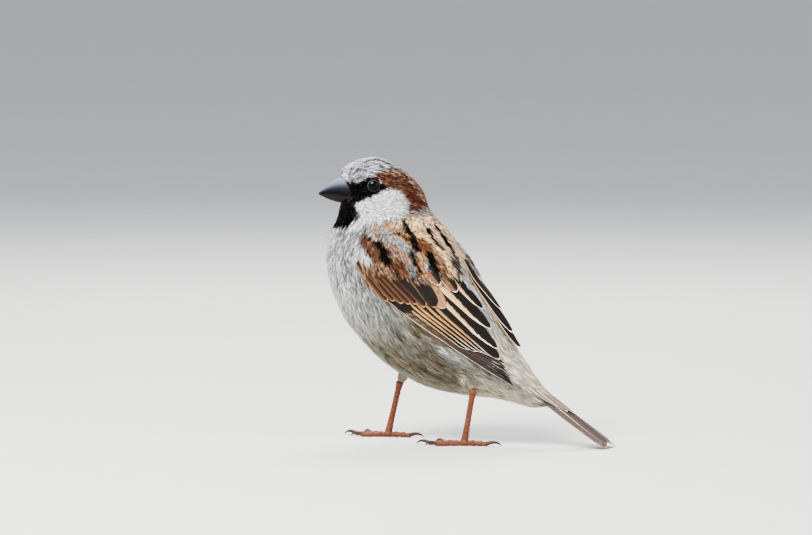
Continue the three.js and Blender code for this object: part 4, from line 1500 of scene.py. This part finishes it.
def tract(side, kind, shape, count, keys, heights, tilt, colours, split, plan, frost):
    """The feathers of one tract, on the left (-1) or right (1) wing."""
    keys, made = np.array(keys, float), []
    random = np.random.default_rng(len(kind) * 7 + count)
    for i in range(count):
        share = i / max(count - 1, 1)
        at0, turn0, at1, turn1, wide = (np.interp(share, keys[:, 0], keys[:, c]) for c in range(1, 6))
        at1 += random.uniform(-0.05, 0.05)
        root, tip = body_point(at0, -side * turn0, 0.5), body_point(at1, -side * turn1, 1.2)
        low = heights[0] + (heights[2] - heights[0]) * share
        high = heights[1] + (heights[3] - heights[1]) * share
        shade = random.uniform(0.88, 1.12)
        ground, core, trim = (colour * [shade, shade, shade, 1] for colour in colours)
        made.append(
            {
                "root": root,
                "normal": body_normal(at0, -side * turn0),
                "aim": unit(tip - root),
                "size": np.array([np.linalg.norm(tip - root), wide, 0.3 * side]) * MM,
                "lift": np.array([low, high, tilt]) * MM,
                "plan": plan,
                "ground": ground,
                "core": core,
                "trim": trim,
                "shaft": ground * [0.6, 0.6, 0.6, 1],
                "split": split,
                "frost": frost,
                "chance": random.uniform(0, 1),
                "hand": side,
                "shape": list(VANE_SHAPES).index(shape),
            }
        )
    return made


for side_name, side in SIDES.items():
    for part, tracts in TRACTS.items():
        feathers = [f for numbers in tracts for f in tract(side, *numbers)]
        if part == "secondaries" and side == SIDES["right"]:
            feathers += tract(side, *FAR_WING)
        name = f"wing_{side_name}_{part}"
        vane_piece(name + "_feathers", feathers, cloak, "wing_feathers", [name])

# %% [markdown]
# ## The tail
# Twelve feathers lie folded over each other, the middle pair on top. The fan widens a
# little to its tip, where the middle feathers stop short and leave a shallow notch.

# %% Tail feathers
TAIL_LONG, TAIL_NOTCH, TAIL_ARCH, TAIL_HALF = 35.0, 2.2, 0.4, 7.2


def tail_point(out, across, rise=0.0):
    out, across, rise = (np.asarray(v, float)[..., None] for v in np.broadcast_arrays(out, across, rise))
    rise = rise - TAIL_ARCH * (across / TAIL_HALF) ** 2
    return TAIL_ROOT + out * TAIL_DOWN + rise * TAIL_UP + across * np.array([0, 1, 0])


fan = tail_point(np.linspace(-8, 40, 30)[:, None], np.linspace(-10, 10, 30)[None]).reshape(-1, 3)
fan_guide = guide("fan", fan, grid_faces(30, 30)[:, ::-1])
tail_ground, tail_edge = paint(0.31, 0.265, 0.25), paint(0.88, 0.81, 0.70)


def tail_feather(root, tip, wide, lift, bend, shade, plan, hand, shape="tail", ground=tail_ground):
    """One feather on the fan, from points of the fan."""
    return {
        "root": root,
        "normal": TAIL_UP,
        "aim": unit(tip - root),
        "size": np.array([np.linalg.norm(tip - root), wide, bend]) * MM,
        "lift": np.array(lift) * MM,
        "plan": plan,
        "ground": ground * [shade, shade, shade, 1],
        "core": ground * [0.85 * shade, 0.85 * shade, 0.85 * shade, 1],
        "trim": tail_edge,
        "shaft": ground * [0.4, 0.4, 0.4, 1],
        "split": 0.1,
        "frost": 0.35,
        "chance": (root[1] * 0.37 + lift[0]) % 1.0,
        "hand": hand,
        "shape": list(VANE_SHAPES).index(shape),
    }


feathers = []
for k in range(6):
    for side in SIDES.values():
        across = 1.2 if k == 0 else 0.9 + 0.62 * k
        reach = TAIL_LONG - TAIL_NOTCH * (1 - across / 4.6)
        root, tip = tail_point(-5, side * (0.3 + 0.45 * k)), tail_point(reach, side * across)
        lift = (1.3 - 0.42 * k - 0.1 * side, 0.62 - 0.14 * k - 0.05 * side, -0.12)
        wide = 7.4 if k == 0 else 5.6
        plan = (0.16, 0.12, 0.008) if k == 0 else (0.02, 0.06, 0.008)
        feathers.append(tail_feather(root, tip, wide, lift, 0.5 * side, 0.95 + 0.04 * k, plan, side))
vane_piece("tail_vanes", feathers, fan_guide, "tail_feathers", ["tail"])

# small feathers cover the base of the tail, above and below
feathers = []
covert_brown, covert_white = paint(0.46, 0.42, 0.375), paint(0.90, 0.88, 0.84)
TAIL_COVERTS = [(10, -2.8), (10, 2.8), (13, 1.7), (14, -1.5), (16, 0.4), (8, -3.5), (8, 3.5)]  # reach, side
for i, (out, across) in enumerate(TAIL_COVERTS):
    root, tip = tail_point(-7, 0.8 * across), tail_point(out, across)
    lift = (2.0 - 0.25 * abs(across), 1.5 - 0.22 * abs(across) + 0.05 * i, -0.1)
    look = (0.9 + 0.04 * i, (0.3, 0.14, 0.02))
    hand = 1 if across > 0 else -1
    feathers.append(tail_feather(root, tip, 5.0, lift, 0, *look, hand, "tertial", covert_brown))
vane_piece("tail_coverts_above", feathers, fan_guide, "tail_feathers")
feathers = []
for i, (out, across) in enumerate([(6, -3.2), (6, 3.2), (8, -1.8), (8, 1.8), (10, 0.0)]):
    root, tip = tail_point(-8, 0.8 * across), tail_point(out, across)
    lift = (-1.6, -0.95 - 0.08 * i, 0.1)
    hand = 1 if across > 0 else -1
    feathers.append(
        tail_feather(root, tip, 5.4, lift, 0, 0.96, (0.3, 0.3, 0.1), hand, "tertial", covert_white)
    )
vane_piece("tail_coverts_below", feathers, fan_guide, "tail_feathers")
for thing in (cloak, fan_guide):
    bpy.data.objects.remove(thing)

# %% [markdown]
# ## The bill
# A sparrow's bill is a short cone in two halves, a little deeper than it is wide, made
# for cracking seeds. In a breeding cock it is slate black, smooth, and shines along
# its ridge; that shine is a painted highlight in the upper half's colour, and painted
# shade darkens the lower half's underside and the gape between the halves. Each half
# is a loft: its depth and width shrink to nothing at the tip on a curve.

# %% Bill
BILL = {"root": 12.4, "hidden": 2.4, "long": 11.9, "half": 3.9, "gape": 92.7}


def bill_half(name, way, depth, bend):
    u = np.linspace(0, 1, 44)[:, None]
    turn = np.linspace(0, 2 * math.pi, 40, endpoint=False)[None]
    start = BILL["hidden"] / (BILL["long"] + BILL["hidden"])
    out = np.clip((u - start) / (1 - start), 0, 1)
    # the line between the halves droops towards the cheek, and the upper half overhangs the lower
    droop = 0.8 * (1 - out) ** 3 - 0.35 * np.sin(math.pi * out)
    tall = depth * (1 - out**bend) + 0.25 + way * droop
    wide = (BILL["half"] * (1 - out**1.35) + 0.25) * (1.0 if way > 0 else 0.93)
    c, s = np.cos(turn), np.sin(turn)
    # the ridge is a little keeled, and the cutting edge a little tucked in
    rise = np.where(s * way > 0, tall * np.sign(s) * np.abs(s) ** 0.92, -way * 0.05) + way * 0.08 - droop
    side = wide * c * (1 - 0.05 * np.exp(-((s / 0.3) ** 2)))
    ahead = BILL["root"] - BILL["hidden"] + u * (BILL["hidden"] + BILL["long"]) + 0 * turn
    points, faces = tube(head_point(ahead, side, BILL["gape"] + rise))
    thing = mesh_object(name, points, faces)
    # edge is 1 where the halves meet: the horn group paints a near-black shadow line along the gape there
    edge = np.append((1 - np.abs(s * np.ones_like(u))).ravel(), [1, 1])
    # ridge: along it the upper half gets a painted highlight and the lower half painted shade on its
    # underside
    ridge = np.append(((np.clip(s * way, 0, 1) ** 2.6) * (1 - 0.4 * out)).ravel(), [0, 0])
    set_attribute(thing.data, "edge", "FLOAT", edge)
    set_attribute(thing.data, "ridge", "FLOAT", ridge)
    return thing


def horn_colour():
    outputs = [("Color", "NodeSocketColor"), ("Roughness", "NodeSocketFloat"), ("Height", "NodeSocketFloat")]
    tree, entry, leave = group(
        "horn",
        "ShaderNodeTree",
        [("Base", "NodeSocketColor", None), ("Pale", "NodeSocketColor", None)],
        outputs,
    )
    n = Nodes(tree)
    place = n.out("ShaderNodeTexCoord", result="Object")
    grain = n.out("ShaderNodeTexNoise", {"Vector": place, "Scale": 900.0, "Detail": 4.0}, "Fac")
    cloud = n.out("ShaderNodeTexNoise", {"Vector": place, "Scale": 220.0, "Detail": 2.0}, "Fac")
    # the ridge colour: a painted highlight on the upper bill, painted shade under the lower bill, and the
    # claws' own paler tone near their base
    pale = n.maths("MULTIPLY", shader_attribute(n, "ridge"), n.maths("MULTIPLY_ADD", cloud, 0.8, 0.35))
    colour = mixed(n, pale, entry.outputs["Base"], entry.outputs["Pale"])
    # painted shade: the gape between the bill's halves turns near black
    dark = n.maths("MULTIPLY", n.maths("POWER", shader_attribute(n, "edge"), 4.0), 0.98)
    colour = mixed(n, dark, colour, paint(0.012, 0.011, 0.014))
    tree.links.new(colour, leave.inputs["Color"])
    tree.links.new(n.maths("MULTIPLY_ADD", grain, 0.25, 0.30), leave.inputs["Roughness"])
    tree.links.new(grain, leave.inputs["Height"])
    return tree


HORN = horn_colour()


def horn_material(name, base, pale, bump=0.25):
    def build(n):
        made = use_group(n, HORN, Base=base, Pale=pale)
        normal = n.out("ShaderNodeBump", {"Height": made["Height"], "Strength": bump, "Distance": 0.00005})
        return {"Base Color": made["Color"], "Roughness": made["Roughness"], "Normal": normal}

    return material(name, build, 0.35, Specular_IOR_Level=0.13)


# the upper bill's second colour is a painted highlight on its ridge; the lower bill's is painted shade on its
# underside
SLATE = horn_material("bill_slate", paint(0.085, 0.09, 0.112), paint(0.60, 0.65, 0.74))
LOWER = horn_material("bill_lower_slate", paint(0.135, 0.115, 0.107), paint(0.05, 0.045, 0.045))
finish(bill_half("bill_upper_horn", 1, 6.6, 1.8), SLATE, ["bill_upper"])
finish(bill_half("bill_lower_horn", -1, 3.5, 2.0), LOWER, ["bill_lower"])

# %% [markdown]
# ## The eyes
# The eyeball sits deep, so that only a small disc shows inside a ring of bare lid. The iris
# is a brown so dark that it is hard to tell from the pupil. The wet look comes from
# a smooth clear coat. The lids are a thin beaded ring that hides the edge of the ball.

# %% Eyes and lids
LID_INNER = 1.9  # radius, in mm
LID_BEADS = 22  # small swellings round the lid


def eye_lathe(name, side, radii, heights, around=64, stretch=0.0, beads=0.0):
    """A surface turned about the eye's axis; heights are measured out from its middle."""
    radii, heights = np.array(radii, float)[:, None], np.array(heights, float)[:, None]
    turn = np.linspace(0, 2 * math.pi, around, endpoint=False)[None]
    r = (
        radii
        * (1 + stretch * np.cos(2 * turn))
        * (1 + beads * np.cos(turn * LID_BEADS) * (radii > LID_INNER))
    )
    ahead = EYE["ahead"] + r * np.cos(turn)
    up = EYE["level"] + r * np.sin(turn)
    points, faces = tube(head_point(ahead, side * (EYE["out"] + heights + 0 * turn), up))
    thing = mesh_object(name, points, faces)
    polar = np.append(np.repeat(radii[:, 0], around), [radii[0, 0], radii[-1, 0]])
    set_attribute(thing.data, "polar", "FLOAT", polar)
    return thing


def eye_colour():
    tree, _, leave = group("eye colour", "ShaderNodeTree", [], [("Color", "NodeSocketColor")])
    n = Nodes(tree)
    polar = shader_attribute(n, "polar")
    place = n.out("ShaderNodeTexCoord", result="Object")
    fibres = n.out("ShaderNodeTexNoise", {"Vector": place, "Scale": 2600.0, "Detail": 3.0}, "Fac")
    iris = mixed(n, fibres, paint(0.018, 0.015, 0.015), paint(0.055, 0.038, 0.033))
    rim = n.out("ShaderNodeMapRange", {"Value": polar, "From Min": 1.0, "From Max": 1.15})
    ring = n.out("ShaderNodeMapRange", {"Value": polar, "From Min": 1.6, "From Max": 1.9})
    colour = mixed(n, rim, paint(0.01, 0.01, 0.012), iris)
    colour = mixed(n, ring, colour, paint(0.03, 0.02, 0.02))
    tree.links.new(colour, leave.inputs["Color"])
    return tree


def lid_colour():
    tree, _, leave = group(
        "lid colour", "ShaderNodeTree", [], [("Color", "NodeSocketColor"), ("Height", "NodeSocketFloat")]
    )
    n = Nodes(tree)
    place = n.out("ShaderNodeTexCoord", result="Object")
    grain = n.out("ShaderNodeTexNoise", {"Vector": place, "Scale": 3000.0, "Detail": 3.0}, "Fac")
    # one pale line runs round the dark rim
    off = n.maths("ABSOLUTE", n.maths("SUBTRACT", shader_attribute(n, "polar"), 2.2))
    outward = n.out("ShaderNodeMapRange", {"Value": off, "From Min": 0.17, "From Max": 0.03})
    pale = mixed(n, grain, paint(0.06, 0.06, 0.065), paint(0.36, 0.36, 0.36))
    colour = mixed(n, outward, paint(0.035, 0.035, 0.04), pale)
    tree.links.new(colour, leave.inputs["Color"])
    tree.links.new(grain, leave.inputs["Height"])
    return tree


EYE_COLOUR, LID_COLOUR = eye_colour(), lid_colour()
WET = material(
    "eye", lambda n: {"Base Color": use_group(n, EYE_COLOUR)["Color"]}, 0.08,
    Coat_Weight=0.18, Coat_Roughness=0.02, Specular_IOR_Level=0.04,
)  # fmt: skip


def lid_build(n):
    made = use_group(n, LID_COLOUR)
    bump = n.out("ShaderNodeBump", {"Height": made["Height"], "Strength": 0.5, "Distance": 0.0001})
    return {"Base Color": made["Color"], "Normal": bump}


LID = material("lid", lid_build, 0.6, Specular_IOR_Level=0.2)
polar = np.linspace(0.02, math.pi - 0.02, 60)
ball_r = EYE["radius"] * np.sin(polar)
ball_h = EYE["radius"] * np.cos(polar) + 0.12 * np.exp(-((ball_r / 1.3) ** 2)) * (polar < 1.5)
over = lambda r: math.sqrt(EYE["radius"] ** 2 - r**2)  # height of the ball's surface
lid_r = [1.78, 1.80, 1.88, 2.05, 2.28, 2.46, 2.60, 2.70, 2.75, 2.55, 2.1, 1.85]
lid_h = [over(1.8), over(1.8) + 0.10, over(1.88) + 0.18, over(2.05) + 0.2, over(2.28) + 0.27]
lid_h += [over(2.46) + 0.15, over(2.6) + 0.0, 0.55, -0.3, -0.4, 0.2, over(1.85) - 0.15]


def ring_mesh(name, side, radii, heights, around=88, stretch=0.0, beads=0.0):
    """Like eye_lathe, but its profile closes on itself and leaves the middle open."""
    thing = eye_lathe(name, side, radii, heights, around, stretch, beads)
    mesh, rows = thing.data, len(radii)
    points, values = read_points(mesh)[: rows * around], np.repeat(radii, around)
    bpy.data.objects.remove(thing)
    faces = grid_faces(rows, around, closed=True).tolist()
    last = (rows - 1) * around
    faces += [(last + k, last + (k + 1) % around, (k + 1) % around, k) for k in range(around)]
    if side > 0:
        faces = [f[::-1] for f in faces]
    made = mesh_object(name, points, faces)
    set_attribute(made.data, "polar", "FLOAT", values)
    return made


for name, side in SIDES.items():
    ball = eye_lathe("eyeball_" + name, side, ball_r, ball_h)
    finish(ball, WET, ["eye_" + name])
    finish(ring_mesh("lids_" + name, side, lid_r, lid_h, stretch=0.02, beads=0.012), LID)

# %% [markdown]
# ## Legs, toes and claws
# The bare shank of a perching bird carries a row of overlapping plates, and each toe has
# ringed scales above and soft pads below. All are tubes along a line whose radius steps at each
# plate. The soles are pressed flat at the floor, as a standing bird's are.

# %% Feet
TOES = {  # angle from the middle toe, length, claw length, thickness
    "hind": (176, 7.6, 6.4, 1.08),
    "inner": (-27, 9.2, 4.6, 0.92),
    "middle": (0, 12.8, 5.2, 1.0),
    "outer": (25, 9.8, 4.6, 0.92),
}
SHANK, TOE = 1.12, 1.0  # radii


def limb(path, radius, around=18, flat=0.0):
    """A tube along a path of points; below `flat` its surface is pressed level."""
    path = np.asarray(path, float)
    axis = unit(np.gradient(path, axis=0))
    across = unit(np.cross(axis, np.where(np.abs(axis[:, 2:]) > 0.8, [[0, 1.0, 0]], [[0, 0, 1.0]])))
    other = np.cross(axis, across)
    turn = np.linspace(0, 2 * math.pi, around, endpoint=False)
    spread_out = np.cos(turn)[None, :, None] * across[:, None] + np.sin(turn)[None, :, None] * other[:, None]
    rings = path[:, None] + spread_out * (radius[:, None] * np.ones(around))[..., None]
    rings[..., 2] = np.maximum(rings[..., 2], flat)
    return tube(rings)


def joined(name, solids, values):
    """One object from closed solids; `values` gives each named attribute a list for each solid."""
    points, faces, count = [], [], 0
    for p, f in solids:
        points.append(p)
        faces += [tuple(i + count for i in face) for face in f]
        count += len(p)
    thing = mesh_object(name, np.vstack(points), faces)
    for key, value in values.items():
        set_attribute(thing.data, key, "FLOAT", np.concatenate(value))
    return thing


PLATE_RISE, PLATE_FALL = 0.82, 0.18  # parts of one plate of the shank or toe


def saw(u, teeth):
    """Rises slowly and falls fast, like the edge of overlapping plates."""
    t = (u * teeth) % 1.0
    return np.where(t < PLATE_RISE, t / PLATE_RISE, (1 - t) / PLATE_FALL)


def toe_direction(leg, side, swing):
    angle = math.radians(leg["heading"] - side * swing)
    return np.array([math.cos(angle), math.sin(angle), 0])


def foot_colour():
    outputs = [("Color", "NodeSocketColor"), ("Roughness", "NodeSocketFloat"), ("Height", "NodeSocketFloat")]
    tree, _, leave = group("foot skin", "ShaderNodeTree", [], outputs)
    n = Nodes(tree)
    place = n.out("ShaderNodeTexCoord", result="Object")
    grain = n.out("ShaderNodeTexNoise", {"Vector": place, "Scale": 1500.0, "Detail": 4.0}, "Fac")
    patch = n.out("ShaderNodeTexNoise", {"Vector": place, "Scale": 300.0, "Detail": 2.0}, "Fac")
    scales = n.out("ShaderNodeTexVoronoi", {"Vector": place, "Scale": 1800.0}, "Distance")
    colour = mixed(n, patch, paint(0.27, 0.115, 0.072), paint(0.42, 0.205, 0.128))
    groove = n.maths("SUBTRACT", 1.0, shader_attribute(n, "scute"))
    colour = mixed(n, n.maths("MULTIPLY", groove, 0.75), colour, paint(0.20, 0.09, 0.06))
    colour = mixed(n, n.maths("MULTIPLY", scales, 0.25), colour, paint(0.80, 0.50, 0.36))
    tree.links.new(colour, leave.inputs["Color"])
    tree.links.new(n.maths("MULTIPLY_ADD", grain, 0.3, 0.38), leave.inputs["Roughness"])
    tree.links.new(n.maths("ADD", grain, scales), leave.inputs["Height"])
    return tree


FOOT_COLOUR = foot_colour()


def foot_build(n):
    made = use_group(n, FOOT_COLOUR)
    bump = n.out("ShaderNodeBump", {"Height": made["Height"], "Strength": 0.4, "Distance": 0.00008})
    return {"Base Color": made["Color"], "Roughness": made["Roughness"], "Normal": bump}


FOOT_SKIN = material("foot_skin", foot_build, 0.5, Specular_IOR_Level=0.3)
CLAW_HORN = horn_material("claw_horn", paint(0.13, 0.11, 0.10), paint(0.42, 0.33, 0.27), 0.15)

for name, side in SIDES.items():
    leg = LEGS[name]
    heel, foot = np.array(leg["heel"], float), np.array(leg["foot"], float)
    u = np.linspace(0, 1, 110)
    start = heel + (heel - foot) * 0.06  # hidden in the thigh
    path = start + (foot - start) * u[:, None]
    radius = (
        SHANK
        * (1 + 0.3 * np.exp(-(((u - 0.08) / 0.08) ** 2)) + 0.3 * u**6)
        * (0.35 + 0.65 * smooth(u, 0, 0.07))
    )
    plates = saw(u, 9.5)
    solids, scutes = [limb(path, radius * (0.93 + 0.10 * plates), flat=0.0)], []
    scutes.append(np.append(np.repeat(plates, 18), [1, 1]))
    pad_turn = np.linspace(0.02, math.pi - 0.02, 24)
    pad = foot * [1, 1, 0] + np.stack([0 * pad_turn, 0 * pad_turn, 1.3 + 1.3 * np.cos(pad_turn)], -1)
    solids.append(limb(pad, 1.75 * np.sin(pad_turn), flat=0.0))
    scutes.append(np.full(24 * 18 + 2, 0.7))
    claws, ridges = [], []
    for swing, long, reach, thick in TOES.values():
        direction = toe_direction(leg, side, swing)
        stout, u = TOE * thick, np.linspace(0, 1, 90)
        arch = 0.28 * np.sin(u * math.pi) * (1 - 0.3 * u)
        path = foot * [1, 1, 0] + direction * (0.4 + (long + 0.9) * u)[:, None]
        path[:, 2] = stout * (1.06 - 0.18 * u) - 0.08 + arch * 0.4
        joints = 0.13 * np.cos(u * 6 * math.pi) - 0.16 * u
        end = 1 - 0.55 * np.clip((u - 0.93) / 0.07, 0, 1) ** 2
        rings = saw(u, 11 if long > 9 else 8)
        solids.append(limb(path, stout * (1 + joints) * end * (0.94 + 0.09 * rings), flat=0.0))
        scutes.append(np.append(np.repeat(rings, 18), [1, 1]))
        # the claw: one curve from inside the toe's end, over and down
        t = np.linspace(0, 1, 30)[:, None]
        base = foot * [1, 1, 0] + direction * (1.0 + long)
        ends = [(0.0, 0.95), (reach * 0.62, 2.5), (reach * 0.92, 0.3)]
        a, b, c = (base + direction * o + np.array([0, 0, h]) for o, h in ends)
        curve = a * (1 - t) ** 2 + 2 * b * t * (1 - t) + c * t**2
        claws.append(limb(curve, 0.68 * thick * (1 - t[:, 0]) ** 0.8 + 0.07, 14))
        ridges.append(np.append(np.repeat(1 - t[:, 0], 14), [1, 0]))
    finish(
        joined("foot_" + name, solids, {"scute": scutes}),
        FOOT_SKIN,
        [f"tarsus_{name}"] + [f"toe_{name}_{toe}" for toe in TOES],
    )
    edges = [np.zeros(len(r)) for r in ridges]
    claw_piece = joined("claws_" + name, claws, {"ridge": [0.6 * r for r in ridges], "edge": edges})
    finish(claw_piece, CLAW_HORN, [f"claw_{name}_{toe}" for toe in TOES])

# %% [markdown]
# ## Floor, light and camera
# A pale floor and soft daylight from above keep attention on the plumage. The camera
# stands far off with a long lens, a little behind the bird's left side, so that the
# turned head is seen in profile.


# %% Stage
def floor_build(n):
    place = n.out("ShaderNodeTexCoord", result="Object")
    cloud = n.out("ShaderNodeTexNoise", {"Vector": place, "Scale": 40.0, "Detail": 3.0}, "Fac")
    return {"Base Color": mixed(n, cloud, paint(0.83, 0.83, 0.81), paint(0.86, 0.86, 0.85))}


bpy.ops.mesh.primitive_plane_add(size=40)
floor = bpy.context.object
floor.name = "floor"
floor.data.materials.append(material("floor", floor_build, 0.9))


def direction_of(azimuth, elevation):
    a, e = math.radians(azimuth), math.radians(elevation)
    return Vector((math.sin(a) * math.cos(e), -math.cos(a) * math.cos(e), math.sin(e)))


middle = Vector(to_metres((0, 0, 65.1)))


def area_light(name, azimuth, elevation, away, size, power, colour):
    data = bpy.data.lights.new(name, "AREA")
    data.size, data.energy, data.color = size, power, colour
    lamp = bpy.data.objects.new(name, data)
    bpy.context.scene.collection.objects.link(lamp)
    back = direction_of(azimuth, elevation)
    lamp.location = middle + back * away
    lamp.rotation_euler = back.to_track_quat("Z", "Y").to_euler()


area_light("key", -20, 48, 1.0, 0.45, 23.0, (1.0, 0.98, 0.95))
area_light("fill", 70, 20, 1.2, 0.8, 8.0, (0.93, 0.96, 1.0))
area_light("rim", 200, 45, 1.1, 0.5, 12.0, (1.0, 0.98, 0.96))
world = bpy.data.worlds.new("daylight")
bpy.context.scene.world = world
world.use_nodes = True
world.node_tree.nodes["Background"].inputs["Color"].default_value = (0.86, 0.90, 1.0, 1)
world.node_tree.nodes["Background"].inputs["Strength"].default_value = 0.66

AZIMUTH, ELEVATION, DISTANCE, FRAME_WIDTH = 22, 4, 2.4, 0.3045
data = bpy.data.cameras.new("camera")
data.sensor_width, data.clip_start, data.clip_end = 36, 0.1, 60
data.lens = data.sensor_width * DISTANCE / FRAME_WIDTH
camera = bpy.data.objects.new("camera", data)
bpy.context.scene.collection.objects.link(camera)
back = direction_of(AZIMUTH, ELEVATION)
camera.location = middle + back * DISTANCE
camera.rotation_euler = back.to_track_quat("Z", "Y").to_euler()
bpy.context.scene.camera = camera
bpy.context.scene.view_settings.look = "AgX - Medium High Contrast"
